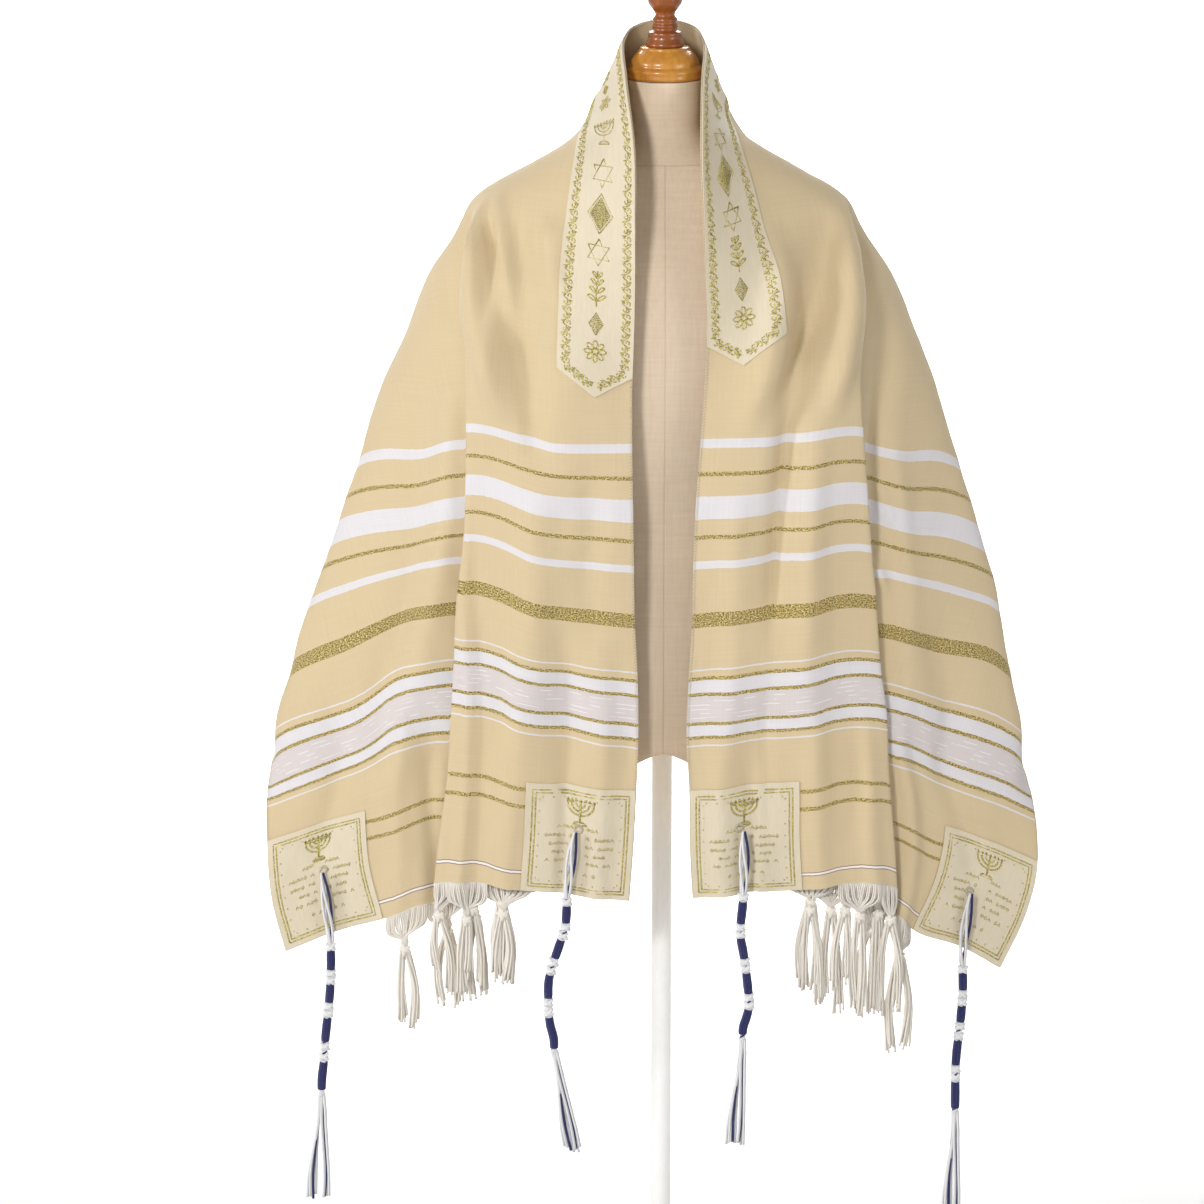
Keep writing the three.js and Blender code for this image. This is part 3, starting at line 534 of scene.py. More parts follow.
class Shader(Nodes):
    def __init__(self, name, **settings):
        self.material = bpy.data.materials.new(name)
        super().__init__(self.material, "Principled BSDF")
        for setting, value in settings.items():
            self.surface[setting.replace("_", " ").title()].default_value = value

    def math(self, operation, *values, clamp=False):
        return self.node("ShaderNodeMath", dict(enumerate(values)), operation=operation, use_clamp=clamp)[0]

    def times(self, value, other):
        return self.math("MULTIPLY", value, other)

    def plus(self, value, other):
        return self.math("ADD", value, other)

    def line(self, value, gain, start, clamp=False):
        return self.math("MULTIPLY_ADD", value, gain, start, clamp=clamp)

    def mix(self, factor, first, second):
        """One colour over another. Sockets 0, 6 and 7 are the factor and the two colours."""
        return self.node("ShaderNodeMix", {0: factor, 6: first, 7: second}, data_type="RGBA")[2]

    def layers(self, colour, *layers):
        """Colours laid over a first one, each by its own factor."""
        for factor, over in layers:
            colour = self.mix(factor, colour, over)
        return colour

    def cloth_uv(self):
        split = self.node("ShaderNodeSeparateXYZ", {0: self.node("ShaderNodeUVMap", uv_map="cloth")[0]})
        return split[0], split[1]

    def noise(self, across, along, detail=2.0, roughness=0.5):
        """Noise over the cloth, with its own number of grains to the metre each way."""
        u, v = self.cloth_uv()
        joined = self.node("ShaderNodeCombineXYZ", {0: self.times(u, across), 1: self.times(v, along)})
        grain = {"Vector": joined[0], "Scale": 1.0, "Detail": detail, "Roughness": roughness}
        return self.node("ShaderNodeTexNoise", grain)["Fac"]

    def place_noise(self, scale, detail=3.0, stretch=(1, 1, 1)):
        where = self.node("ShaderNodeTexCoord")["Object"]
        mapped = self.node("ShaderNodeMapping", {"Vector": where, "Scale": stretch})
        return self.node("ShaderNodeTexNoise", {"Vector": mapped[0], "Scale": scale, "Detail": detail})["Fac"]

    def waves(self, value, pitch):
        """0 to 1 and back over each pitch, in metres."""
        return self.line(self.math("SINE", self.times(value, 2 * math.pi / pitch)), 0.5, 0.5)

    def bands(self, value, bands):
        """1 inside each band of values, 0 outside."""
        inside = [self.math("COMPARE", value, (low + high) / 2, (high - low) / 2) for low, high in bands]
        total = inside[0]
        for mask in inside[1:]:
            total = self.plus(total, mask)
        return total

    def finish(self, colour, height, depth, strength):
        """Join the colour and the bump to the surface."""
        bump = self.node("ShaderNodeBump", {"Strength": strength, "Distance": depth, "Height": height})
        self.feed(self.surface["Base Color"], colour)
        self.feed(self.surface["Normal"], bump[0])
        return self.material


# Stripes across the shawl, by their rise from the hem in millimetres.
STRIPES = {
    "white": [(167.4, 169.2), (178.8, 190.4), (224.6, 237.2), (247.0, 248.7), (351.2, 359.0), (401.6, 424.2),
              (470.8, 480.2)],
    "gold": [(90.4, 94.4), (108.5, 112.5), (175.3, 178.8), (190.4, 193.9), (221.1, 224.6), (237.2, 240.7),
             (293.0, 307.6), (381.2, 385.2), (443.4, 447.4)],
    "sheer": [(193.9, 221.1)],
    "hairline": [(17.8, 20.2)],
    "hairline_dark": [(16.6, 17.8), (20.2, 21.4)],
}
THREAD_PITCH = 0.0009
DASH_PITCH = 0.0046


def shawl_material():
    shader = Shader("shawl_weave", roughness=0.86, sheen_weight=0.18)
    u, v = shader.cloth_uv()
    ragged = shader.math("SUBTRACT", shader.line(shader.noise(260, 30, 1.0), 0.0010, v), 0.0005)
    mask = {kind: shader.bands(ragged, np.multiply(rows, MM)) for kind, rows in STRIPES.items()}
    streak = shader.plus(shader.times(shader.noise(900, 14), 0.5), shader.times(shader.noise(14, 900), 0.5))
    cream = shader.mix(streak, srgb(197, 177, 138), srgb(220, 201, 163))
    cream = shader.mix(shader.times(shader.noise(9, 7, 3.0), 0.35), cream, srgb(208, 183, 148))
    white = shader.mix(streak, srgb(208, 203, 203), srgb(230, 226, 228))
    rows = shader.bands(shader.math("FRACT", shader.times(v, 1 / DASH_PITCH)), [(0.0, 0.2)])
    dashes = shader.times(rows, shader.math("GREATER_THAN", shader.noise(40, 217), 0.53))
    sheer = shader.mix(streak, srgb(200, 190, 186), srgb(222, 214, 212))
    sheer = shader.mix(dashes, sheer, srgb(230, 225, 225))
    # Painted glints: bright speckles in the gold stripes' colour stand in for the metal thread's sparkle.
    glint = shader.line(shader.noise(620, 760, 2.0, 0.8), 6.0, -2.5, clamp=True)
    gold = shader.mix(glint, srgb(112, 90, 32), srgb(236, 212, 138))
    colour = shader.layers(
        cream, (mask["sheer"], sheer), (mask["white"], white), (mask["hairline"], srgb(238, 230, 224)),
        (mask["hairline_dark"], srgb(150, 128, 118)), (mask["gold"], gold))
    shader.feed(shader.surface["Metallic"], shader.times(mask["gold"], 0.3))
    shader.feed(shader.surface["Roughness"], shader.line(mask["gold"], -0.42, 0.86))
    threads = shader.math("MAXIMUM", shader.waves(u, THREAD_PITCH), shader.waves(v, THREAD_PITCH * 0.94))
    height = shader.plus(shader.times(threads, 0.5), shader.times(streak, 0.6))
    return shader.finish(colour, shader.line(shader.times(mask["gold"], glint), 2.5, height), 0.00022, 0.8)


def satin_material(name):
    shader = Shader(name, roughness=0.5, sheen_weight=0.1)
    streak = shader.noise(1100, 40)
    colour = shader.mix(streak, srgb(208, 195, 166), srgb(230, 218, 192))
    colour = shader.mix(shader.times(shader.noise(18, 24, 3.0), 0.4), colour, srgb(206, 192, 170))
    twill = shader.waves(shader.plus(*shader.cloth_uv()), 0.0008)
    return shader.finish(colour, shader.plus(twill, streak), 0.00012, 0.7)


def gold_thread_material():
    shader = Shader("gold_thread", roughness=0.38, metallic=0.3)
    glint = shader.place_noise(900, 2.0)
    # Painted glints: bright speckles in the thread's colour stand in for its sparkle.
    colour = shader.mix(shader.line(glint, 5.0, -2.0, clamp=True), srgb(146, 128, 54), srgb(232, 219, 136))
    return shader.finish(colour, glint, 0.0003, 0.9)


def yarn_material(name, light, dark, twist, shade=0.18):
    """Twisted yarn. The tone attribute turns it from the light to the dark colour, and the grooves between the plies
    are darkened with painted shade.
    """
    shader = Shader(name, roughness=0.9, sheen_weight=0.25)
    tone = shader.node("ShaderNodeAttribute", attribute_name="tone")["Fac"]
    ply = shader.waves(shader.plus(*shader.cloth_uv()), twist)
    fibre = shader.place_noise(900)
    soft = shader.mix(fibre, light, (*[min(1.0, c * 1.16) for c in light[:3]], 1.0))
    deep = shader.mix(fibre, dark, (*[c * 1.7 for c in dark[:3]], 1.0))
    colour = shader.mix(shader.math("GREATER_THAN", tone, 0.5), soft, deep)
    # Painted shade in the grooves between the plies.
    colour = shader.mix(shader.times(shader.math("SUBTRACT", 1.0, ply), shade), colour, (0, 0, 0, 1))
    return shader.finish(colour, shader.line(fibre, 0.4, ply), 0.0004, 0.8)


def linen_material():
    """Linen, darkened towards the lower rim by painted shade, with seams down the middle and round the neck."""
    shader = Shader("form_linen", roughness=0.92, sheen_weight=0.15)
    warp, weft = (shader.place_noise(420, 2.0, stretch) for stretch in ((1, 1, 0.05), (0.05, 0.05, 1)))
    streak = shader.times(shader.plus(warp, weft), 0.5)
    colour = shader.mix(streak, srgb(210, 188, 160), srgb(240, 223, 200))
    colour = shader.mix(shader.times(shader.place_noise(7), 0.3), colour, srgb(208, 185, 156))
    where = shader.node("ShaderNodeSeparateXYZ", {0: shader.node("ShaderNodeTexCoord")["Object"]})
    up, neck, seam_half = where[2], 1.334, 0.0009
    # Painted shade: the linen turns a darker brown from 0.95 m high down to the lower rim.
    rim = shader.line(up, -1 / 0.19, 0.95 / 0.19, clamp=True)
    colour = shader.mix(shader.times(rim, 0.18), colour, srgb(120, 96, 66))
    beside, round_neck = (
        shader.line(shader.math("ABSOLUTE", off), -1 / seam_half, 1.0, clamp=True)
        for off in (where[0], shader.math("SUBTRACT", up, neck)))
    beside = shader.times(beside, shader.math("LESS_THAN", up, neck))
    seam = shader.math("MAXIMUM", beside, round_neck)
    colour = shader.mix(shader.times(seam, 0.22), colour, srgb(120, 92, 66))
    return shader.finish(colour, shader.line(seam, -1.0, streak), 0.0006, 0.6)


def wood_material(name, light, dark, grain):
    shader = Shader(name, roughness=0.34, coat_weight=0.35, coat_roughness=0.12)
    streak = shader.place_noise(grain, 5.0, (1, 1, 0.08))
    fine = shader.place_noise(grain * 7, 3.0, (1, 1, 0.05))
    mixed = shader.line(fine, 0.35, shader.times(streak, 0.75))
    return shader.finish(shader.mix(shader.line(mixed, 2.2, -0.7, clamp=True), dark, light), fine, 0.0002, 0.4)


def paint_material():
    """White sprayed paint with a fine ripple."""
    shader = Shader("pole_paint", roughness=0.3, coat_weight=0.3)
    ripple = shader.place_noise(260, 2.0, (1, 1, 0.4))
    return shader.finish(shader.mix(ripple, srgb(242, 242, 241), srgb(250, 250, 249)), ripple, 0.0001, 0.4)


MATERIALS = {
    "shawl": shawl_material(),
    "collar": satin_material("collar_satin"),
    "patch": satin_material("patch_satin"),
    "gold": gold_thread_material(),
    "fringe": yarn_material("fringe_yarn", srgb(240, 232, 220), srgb(240, 232, 220), 0.0022, 0.14),
    "tassel": yarn_material("tassel_yarn", srgb(236, 235, 236), srgb(16, 22, 80), 0.0016, 0.12),
    "edge": yarn_material("edge_thread", srgb(228, 216, 190), srgb(150, 120, 60), 0.0012),
    "linen": linen_material(),
    "cap": wood_material("cap_wood", srgb(213, 152, 62), srgb(158, 88, 22), 30),
    "knob": wood_material("knob_wood", srgb(156, 84, 26), srgb(92, 42, 8), 40),
    "base": wood_material("base_wood", srgb(216, 166, 100), srgb(170, 112, 52), 16),
    "pole": paint_material(),
}


# ---- corner tassels ----
# By patch: each wound cord's centre line as in the CAD model, as outward, back, up; the end of its loose
# strands and their spread; and the stretches of the cord that are wound, as heights.
TASSELS = {
    "left_front": ([
        (90, -133.2, 662), (93.5, -133.2, 640), (96.5, -133.2, 616), (99, -133.2, 592), (99.5, -133, 574),
        (101, -133, 558), (105.5, -133, 544), (111, -132.5, 527), (115, -132, 514), (118, -132, 500),
        (118.5, -132, 484), (118.5, -132, 470), (116.5, -132, 452), (113, -132, 437), (112.5, -132, 423)],
        (92, -132, 310), 18, [(583, 564.5), (546, 526), (508, 482), (461, 427)]),
    "right_front": ([
        (82, -133, 663), (82.5, -133, 641), (82.5, -133, 619), (82, -133, 598), (81, -133, 580),
        (79.5, -133, 564), (79.5, -133, 548), (82, -132.5, 534), (84.5, -132, 518), (86.5, -132, 502),
        (88, -132, 488), (89, -132, 474), (86.5, -132, 461), (83, -132, 449), (82.5, -132, 436)],
        (76, -132, 317), 20, [(588, 564), (548, 526), (510, 487), (470, 442)]),
    "left_outer": ([
        (353, -79.6, 600), (350.5, -81.2, 580), (348.5, -82.8, 560), (346.5, -84, 541), (345.5, -84.6, 523),
        (345.5, -84.6, 506), (346, -84.4, 490), (347, -84.2, 473), (348.5, -84, 457), (350.5, -84, 440),
        (352.5, -84, 423), (354, -84, 406), (355.5, -84, 389), (357.5, -84, 372), (358, -84, 355)],
        (363, -84, 237), 30, [(517, 496), (479, 459), (442, 416), (393, 362)]),
    "right_outer": ([
        (320.5, -81.8, 578), (318, -82.4, 560), (315.5, -82.8, 542), (313.5, -83, 524), (313, -83, 507),
        (313.5, -83, 490), (314, -82.8, 474), (313.5, -82.6, 457), (312.5, -82.6, 440), (311, -82.6, 423),
        (309.5, -82.6, 406), (308.5, -82.6, 389), (308.5, -82.6, 371), (308.8, -82.6, 353), (309, -82.6, 336)],
        (308, -82.6, 210), 20, [(491, 473), (455, 437), (416, 389), (370, 340)]),
}
CORD_STEP = 0.6
CORD_SIDES = 20
CORE_RADIUS = 3.2
CORE_OVERLAP = 8.0              # the core starts this far above the first winding
LOOP_STRANDS, LOOP_THREAD = 4, 1.5
WINDING_RADIUS = 4.05
WINDING_PITCH = 2.1
KNOT_PITCH = 9.5
KNOT_WIDE, KNOT_DEEP, KNOT_TILT, KNOT_THREAD = 4.9, 3.9, 0.62, 1.9
STRAND_COUNT = 8
STRAND_THREAD = (1.85, 1.6)     # at the cord and at the cut end


def route_of(name):
    """A cord's centre line, in place on its side."""
    return np.array(TASSELS[name][0]) * (SIGN[name.split("_")[0]], 1.0, 1.0)


def tassel_cord(name, route, wound):
    """A loop of four strands out of the patch, then windings with pairs of knots between them."""
    path = resample(route, CORD_STEP)
    up = path[:, 2]
    first, second = cross_directions(path)
    soup = Soup()
    size = np.count_nonzero(up > wound[0][0] + 3)
    part = np.linspace(0, 1, size)
    wide = 0.9 + 3.4 * np.sin(math.pi * part) ** 0.7
    for k in range(LOOP_STRANDS):
        turn = math.pi * k / 2 + 0.6 + 2.6 * part
        strand = beside(path[:size], first[:size], second[:size], 1.3 * np.sin(turn), wide * np.cos(turn))
        soup.tube(strand[::3], LOOP_THREAD, 7, 1.0 if k == 1 else 0.0)
    turn = around(CORD_SIDES)
    core = path[up <= wound[0][0] + CORE_OVERLAP]
    radius = np.full((len(core), CORD_SIDES), CORE_RADIUS)
    tone = 1.0 * (np.mod(turn + core[:, 2:] * 0.5, 2 * np.pi) < 1.2)
    for top, low in wound:
        here = (core[:, 2] >= low) & (core[:, 2] <= top)
        height = core[here, 2:]
        swell = 0.45 * np.sin(math.pi * (top - height) / (top - low)) ** 0.5
        radius[here] = WINDING_RADIUS + swell + 0.45 * np.abs(np.sin(math.pi * height / WINDING_PITCH))
        tone[here] = 1.0
    soup.tube(core, radius, CORD_SIDES, tone, girth=4.4)
    turn = np.linspace(0, 2 * np.pi, 19)
    tops = [wound[0][0] + CORE_OVERLAP] + [low for _, low in wound[:-1]]
    for top, low in zip(tops, [high for high, _ in wound]):
        count = max(1, int(round((top - low) / KNOT_PITCH)))
        for k in range(count):
            middle = int(np.argmin(abs(up - (low + (top - low) * (k + 0.5) / count))))
            for tilt in (-KNOT_TILT, KNOT_TILT):
                tilt += random.uniform(-0.12, 0.12)
                wide = KNOT_WIDE * np.cos(turn)
                knot = beside(path[middle], first[middle], second[middle], KNOT_DEEP * np.sin(turn),
                              wide * math.cos(tilt))
                soup.tube(knot + np.outer(wide * math.sin(tilt), (0, 0, 1)), KNOT_THREAD, 7)
    return soup.build(name + "_wound_cord", "tassel"), float(run(path)[-1])


def tassel_strands(name, start, tip, width):
    """Loose strands in two bunches, which end unevenly."""
    soup = Soup()
    tip = np.array((SIGN[name.split("_")[0]] * tip[0], tip[1], tip[2]))
    ts = np.linspace(0, 1, 8)
    for k in range(STRAND_COUNT):
        spread = (-1 if k < 4 else 1) * width * 0.26 + (k % 4 - 1.5) * 2.3
        depth = 1.5 * math.cos(2.2 * k)
        reach = random.uniform(0.93, 1.0)
        open_out = 0.3 + 0.7 * smooth((ts - 0.1) / 0.8)
        aside = np.stack([spread * open_out + np.sin(5 * ts + k), depth * (1 + 0.4 * np.sin(4 * ts + 2 * k)),
                          0 * ts], axis=1)
        points = start + np.outer(ts * reach, tip - start) + aside
        points[0] = start + ((k - 3.5) * 0.7, depth * 0.6, 1.0)
        path = resample(points, 3.0)
        soup.tube(path, np.linspace(*STRAND_THREAD, len(path)), 6, 1.0 if k in (2, 5) else 0.0)
    return soup.build(name + "_loose_strands", "tassel")


def make_tassels():
    for name, (_, tip, width, wound) in TASSELS.items():
        route = route_of(name)
        cord, length = tassel_cord(name, route, wound)
        strands = tassel_strands(name, route[-1], tip, width)
        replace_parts(cord, name + "_tassel_cord")
        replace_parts(strands, name + "_tassel_strands")


# ---- the cloth ----
CLOTH_ROWS = 351
ACROSS = np.concatenate([
    np.linspace(0, 1, 37)[:-1], np.linspace(1, 1.2, 5)[:-1], np.linspace(1.2, 1.4, 9)[:-1],
    np.linspace(1.4, 1.6, 5)[:-1], np.linspace(1.6, 2, 9)[:-1], np.linspace(2, 3, 49)])
# How far up the stripes lie from their even rise where the cloth is drawn askew: the millimetres at each
# place across, in a row for each rise.
WAVE_PLACES = [0, 0.5, 1, 2.08, 2.3, 2.5, 2.75, 3]
WAVE_RISES = [0, 100, 165, 210, 250, 300, 360, 410, 475, 600]
STRIPE_WAVES = {
    "left": [
        [1, 2, 4, 0, 0, 0, 0, 0], [1, 2, 4, -2, -3, -2, 0, 0], [-2, 5, 11, 3, 7, 0, -4, -7],
        [-1, 4, 12, 7, 12, -2, -7, -8], [-2, 1, 10, 9, 15, 0, -8, -9], [0, 1, 11, 12, 24, 8, -2, -3],
        [-1, -3, 6, 8, 26, 16, 7, 5], [1, -3, 3, 4, 20, 17, 12, 10], [3, -7, -3, 3, 14, 12, 7, 5], [0] * 8],
    "right": [
        [0] * 8, [0, 0, 0, -16, -13, -9, -6, -4], [0, 1, 0, -11, -6, -6, -7, -7],
        [-1, -2, 0, -10, -5, -4, -6, -6], [0, 1, 0, -7, 0, 2, -5, -6], [0, 0, -1, -5, 5, 7, -4, -5],
        [3, 0, -1, 0, 12, 5, -3, -3], [4, -1, -4, 2, 13, 3, -3, -3], [8, -1, -4, 3, 11, 4, 0, 0], [0] * 8],
}


def stripe_wave(side, rise, across):
    table = np.array(STRIPE_WAVES[side], float)
    level = spline(np.array(WAVE_RISES, float), table, np.minimum(rise, WAVE_RISES[-1]))
    return spline(np.array(WAVE_PLACES, float), level[:, :, None], across)[:, 0]


def make_cloth():
    distance, across = np.meshgrid(np.linspace(0, LENGTH, CLOTH_ROWS), ACROSS, indexing="ij")
    inset = by_side(lambda side, rise, across: distance_in(Sections(side, rise), across), distance, across)
    rise = rise_of(distance) - by_side(stripe_wave, distance, across)
    points = by_side(cloth_points, distance, across, 0.0)
    cloth = shell("shawl_cloth", points, inset, rise, CLOTH_THICKNESS, "shawl")
    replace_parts(cloth, "left_front_panel", "right_front_panel", "left_side_panel", "right_side_panel",
                "shoulders_and_back")
    return cloth


# ---- what is sewn on ----
PATCH_SEAM = 0.8                # the patches start this far in from the cloth's edges


def make_collar():
    part, inset = np.meshgrid(np.linspace(0, 1, 260), np.linspace(0, COLLAR_WIDTH, 25), indexing="ij")
    point = COLLAR_POINT * (1 - np.abs(2 * inset / COLLAR_WIDTH - 1))
    start = COLLAR_END["left"] - point
    distance = start + (LENGTH - COLLAR_END["right"] + point - start) * part
    points = edge_points(inset, distance, SATIN_LIFT)
    collar = shell("collar_satin_band", points, inset, distance, SATIN_THICKNESS, "collar")
    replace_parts(collar, "collar_band")
    return collar


def make_patch(side, place):
    rise, inset = np.meshgrid(
        np.linspace(PATCH_SEAM, PATCH_HEIGHT, 36), np.linspace(PATCH_SEAM, PATCH_WIDTH, 34), indexing="ij")
    name = f"{side}_{place}_corner_patch"
    points = patch_points(side, place, inset, rise, SATIN_LIFT)
    patch = shell(name + "_satin", points, inset, rise, SATIN_THICKNESS, "patch")
    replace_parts(patch, name)
    return patch


# ---- embroidery ----
# Every motif is a list of lines in its own plane, in millimetres, and each line becomes a raised gold thread.
GOLD_LIFT = 2.15                # a thread's foot, off the cloth's middle surface
COLLAR_THREAD, COLLAR_RELIEF = 1.35, 0.55       # a thread's width and how far it stands up
BORDER_THREAD, LAMP_THREAD, BORDER_RELIEF = 1.5, 1.95, 0.45
ROW_THREAD, ROW_RELIEF = 1.0, 0.4
ROW_PITCH = 4.2
EYELET_STITCHES, EYELET_THREAD = 24, 0.55
OVERLOCK_PITCH, OVERLOCK_THREAD = 3.0, 0.42


def arc(x, y, radius, start, stop, count=14, squash=1.0):
    turn = np.radians(np.linspace(start, stop, count))
    return np.stack([x + radius * np.cos(turn), y + squash * radius * np.sin(turn)], axis=1)


def line(*points):
    return np.array(points, float)


def ring(*points):
    return line(*points, points[0])


def lamp(size):
    """A seven-branched lamp on a stepped foot."""
    lines = [line((0, -0.5), (0, 1.0))]
    lines += [arc(0, 0.85, reach, 180, 360, 18, 0.95) for reach in (0.3, 0.6, 0.9)]
    lines += [line((x - 0.07, 0.98), (x, 1.14), (x + 0.07, 0.98)) for x in 0.3 * np.arange(-3, 4)]
    lines += [line((-0.95, 0.9), (0.95, 0.9)), line((-0.3, -0.5), (0.3, -0.5)), line((-0.45, -0.68), (0.45, -0.68)),
              line((-0.3, -0.5), (-0.45, -0.68)), line((0.3, -0.5), (0.45, -0.68))]
    return [size * part + (0, -0.2) for part in lines]


def rosette(size, petals=8):
    lines = [arc(0, 0, 0.24 * size, 0, 360, 13)]
    t = np.linspace(0, math.pi, 9)
    for k in range(petals):
        turn = 2 * math.pi * k / petals
        axis = np.array([math.cos(turn), math.sin(turn)])
        length = np.outer(0.3 + 0.7 * (1 - np.cos(t)) / 2, axis)
        belly = np.outer(0.2 * np.sin(t), (-axis[1], axis[0]))
        lines += [size * (length - belly), size * (length + belly)]
    return lines


def star(size):
    corners = [(math.sin(k * math.pi / 3) * size, math.cos(k * math.pi / 3) * size) for k in range(6)]
    return [ring(*corners[0::2]), ring(*corners[1::2])]


def sprig(size):
    """An upright stem with paired leaves."""
    lines = [line((0, -1), (0.04, -0.3), (-0.02, 0.4), (0, 1)) * size]
    t = np.linspace(0, 1, 7)
    for k, y in enumerate((-0.7, -0.25, 0.2, 0.6)):
        reach = 0.55 - 0.08 * k
        for hand in (-1, 1):
            for belly in (0.16, -0.06):
                lines.append(size * np.stack([hand * reach * t, y + 0.32 * t + belly * np.sin(math.pi * t)], axis=1))
    return lines


def lozenge(width, height, rows):
    """A framed lozenge filled with close lines."""
    lines = [ring((0, -height), (width, 0), (0, height), (-width, 0))]
    for k in range(1, rows):
        part = 2 * k / rows - 1
        reach = width * 0.86 * (1 - abs(part)) * 0.97
        if reach > 0.6:
            lines.append(line((-reach, height * 0.86 * part), (reach, height * 0.86 * part)))
    return lines


def scroll(length, width, pitch):
    """A running vine along y from nought to the length, with a curl and a leaf in each bend."""
    count = max(2, int(round(length / pitch)))
    pitch = length / count
    y = np.linspace(0, length, count * 12 + 1)
    lines = [np.stack([0.32 * width * np.sin(2 * np.pi * y / pitch), y], axis=1)]
    t = np.linspace(0, 1, 11)
    reach = 0.24 * width * (1 - 0.7 * t)
    for k in range(2 * count):
        hand = 1 if k % 2 else -1
        centre = np.array([hand * 0.16 * width, (k + 0.5) * pitch / 2])
        turn = hand * (2.2 + 5.0 * t)
        lines.append(centre + np.stack([reach * np.cos(turn), reach * np.sin(turn)], axis=1))
        leaf = [(-0.3 * hand * width, 0), (-0.41 * hand * width, 0.16 * pitch), (-0.62 * hand * width, 0.12 * pitch)]
        lines.append(centre + leaf)
    return lines


def placed(lines, x, y, up=1.0, turn=0.0):
    c, s = math.cos(turn), math.sin(turn)
    return [part @ np.array([[c, s], [-s, c]]) * (1.0, up) + (x, y) for part in lines]


def embroider(name, lines, width, relief, surface):
    """Raised threads along lines on a surface, which turns plane places and lifts into points."""
    sides = []
    for part, thread in zip(lines, np.broadcast_to(width, len(lines))):
        along = np.gradient(part, axis=0)
        along /= np.maximum(np.linalg.norm(along, axis=1), 1e-9)[:, None]
        sides.append(np.stack([-along[:, 1], along[:, 0]], axis=1) * thread / 2)
    middle, side = np.concatenate(lines), np.concatenate(sides)
    plane = np.stack([middle + side, middle, middle - side], axis=1)
    points = surface(plane[..., 0], plane[..., 1], GOLD_LIFT + np.array([0.0, relief, 0.0]))
    soup = Soup()
    for rings in np.split(points, np.cumsum([len(part) for part in lines])[:-1]):
        soup.rings(rings)
    return soup.build(name, "gold")


def collar_embroidery():
    lines = []
    low, high = COLLAR_END["left"], LENGTH - COLLAR_END["right"]
    middle = COLLAR_WIDTH / 2
    for inset in (8.5, COLLAR_WIDTH - 8.5):
        lines += placed(scroll(high - low - 12, 11.0, 13.0), inset, low + 6)
    # round the pointed ends
    tilt = math.pi / 2 - math.atan2(COLLAR_POINT, middle)
    length = math.hypot(COLLAR_POINT, middle) - 13
    for end, up in ((low, -1.0), (high, 1.0)):
        for inset, turn in ((8.0, -tilt), (COLLAR_WIDTH - 8.0, tilt)):
            lines += placed(scroll(length, 10.0, 12.5), inset, end - 4 * up, up, turn)
    motifs = [(22, rosette(11)), (50, lozenge(7, 11, 10)), (84, sprig(17)), (119, star(13)),
              (155, lozenge(14, 18, 19)), (191, star(13)), (230, lamp(15))]
    motifs += [(272 + 22 * k, lozenge(5, 8, 7) if k % 2 else rosette(9, 6)) for k in range(6)]
    for end, up in ((low, 1.0), (high, -1.0)):
        for at, motif in motifs:
            lines += placed(motif, middle, end + up * at, up)
    return embroider("collar_gold_embroidery", lines, COLLAR_THREAD, COLLAR_RELIEF, edge_points)


def patch_embroidery(side, place):
    w, h = PATCH_WIDTH, PATCH_HEIGHT

    def surface(inset, rise, lift):
        return patch_points(side, place, inset, rise, lift)

    lines = []
    for inset in (6.8, 10.0):
        part = ring((inset, inset), (w - inset, inset), (w - inset, h - inset), (inset, h - inset))
        lines.append(np.concatenate([np.linspace(a, b, 12)[:-1] for a, b in zip(part[:-1], part[1:])] + [part[-1:]]))
    motif = placed(lamp(15), w / 2, h - 31)
    dots = []
    for k in range(8):
        x, y = (17 + (size - 34) * k / 7 for size in (w, h))
        dots += [line((-0.55, 0), (0.55, 0)) + dot for dot in ((x, 14.2), (x, h - 14.2), (14.2, y), (w - 14.2, y))]
    widths = [BORDER_THREAD] * len(lines) + [LAMP_THREAD] * len(motif) + [BORDER_THREAD] * len(dots)
    # rows of plain ornament where the real one carries its words
    marks = [[arc(0, 0, 1.6, -30, 210, 8), line((0, -1.6), (0, 0.4))],
             [line((-1.7, -1.5), (0, 1.6), (1.7, -1.5))],
             [ring((0, -1.8), (1.5, 0), (0, 1.8), (-1.5, 0))]]
    rows = []
    for row, (y, reach) in enumerate([(77, 25), (67.5, 36), (58, 36), (48.5, 28), (39, 34), (26, 20)]):
        count = int(2 * reach / ROW_PITCH)
        for k in range(count):
            x = (k + 0.5 - count / 2) * ROW_PITCH
            if abs(x) > 7 and (k + row) % 6:
                rows += placed(marks[(k + row) % 3], w / 2 + x, y)
    name = f"{side}_{place}_patch"
    border = lines + motif + dots
    return [embroider(name + "_border_and_lamp", border, widths, BORDER_RELIEF, surface),
            embroider(name + "_ornament_rows", rows, ROW_THREAD, ROW_RELIEF, surface)]


def eyelet(side, place):
    """The worked hole that a tassel comes out of."""
    start = route_of(f"{side}_{place}")[0]
    rise, inset = np.meshgrid(np.linspace(40, 105, 66), np.linspace(20, 92, 73), indexing="ij")
    reach = np.linalg.norm(patch_points(side, place, inset, rise, 2.0) - start, axis=2)
    rise, inset = rise.ravel()[reach.argmin()] + 1.0, inset.ravel()[reach.argmin()]
    soup = Soup()
    turn = around(EYELET_STITCHES)[:, None]
    radius, lift = np.array([(2.6, 2.3), (3.8, 3.0), (5.0, 2.2)]).T
    for stitch in patch_points(side, place, inset + radius * np.cos(turn), rise + radius * np.sin(turn), lift):
        soup.tube(stitch, EYELET_THREAD, 5)
    return soup.build(f"{side}_{place}_eyelet", "edge")


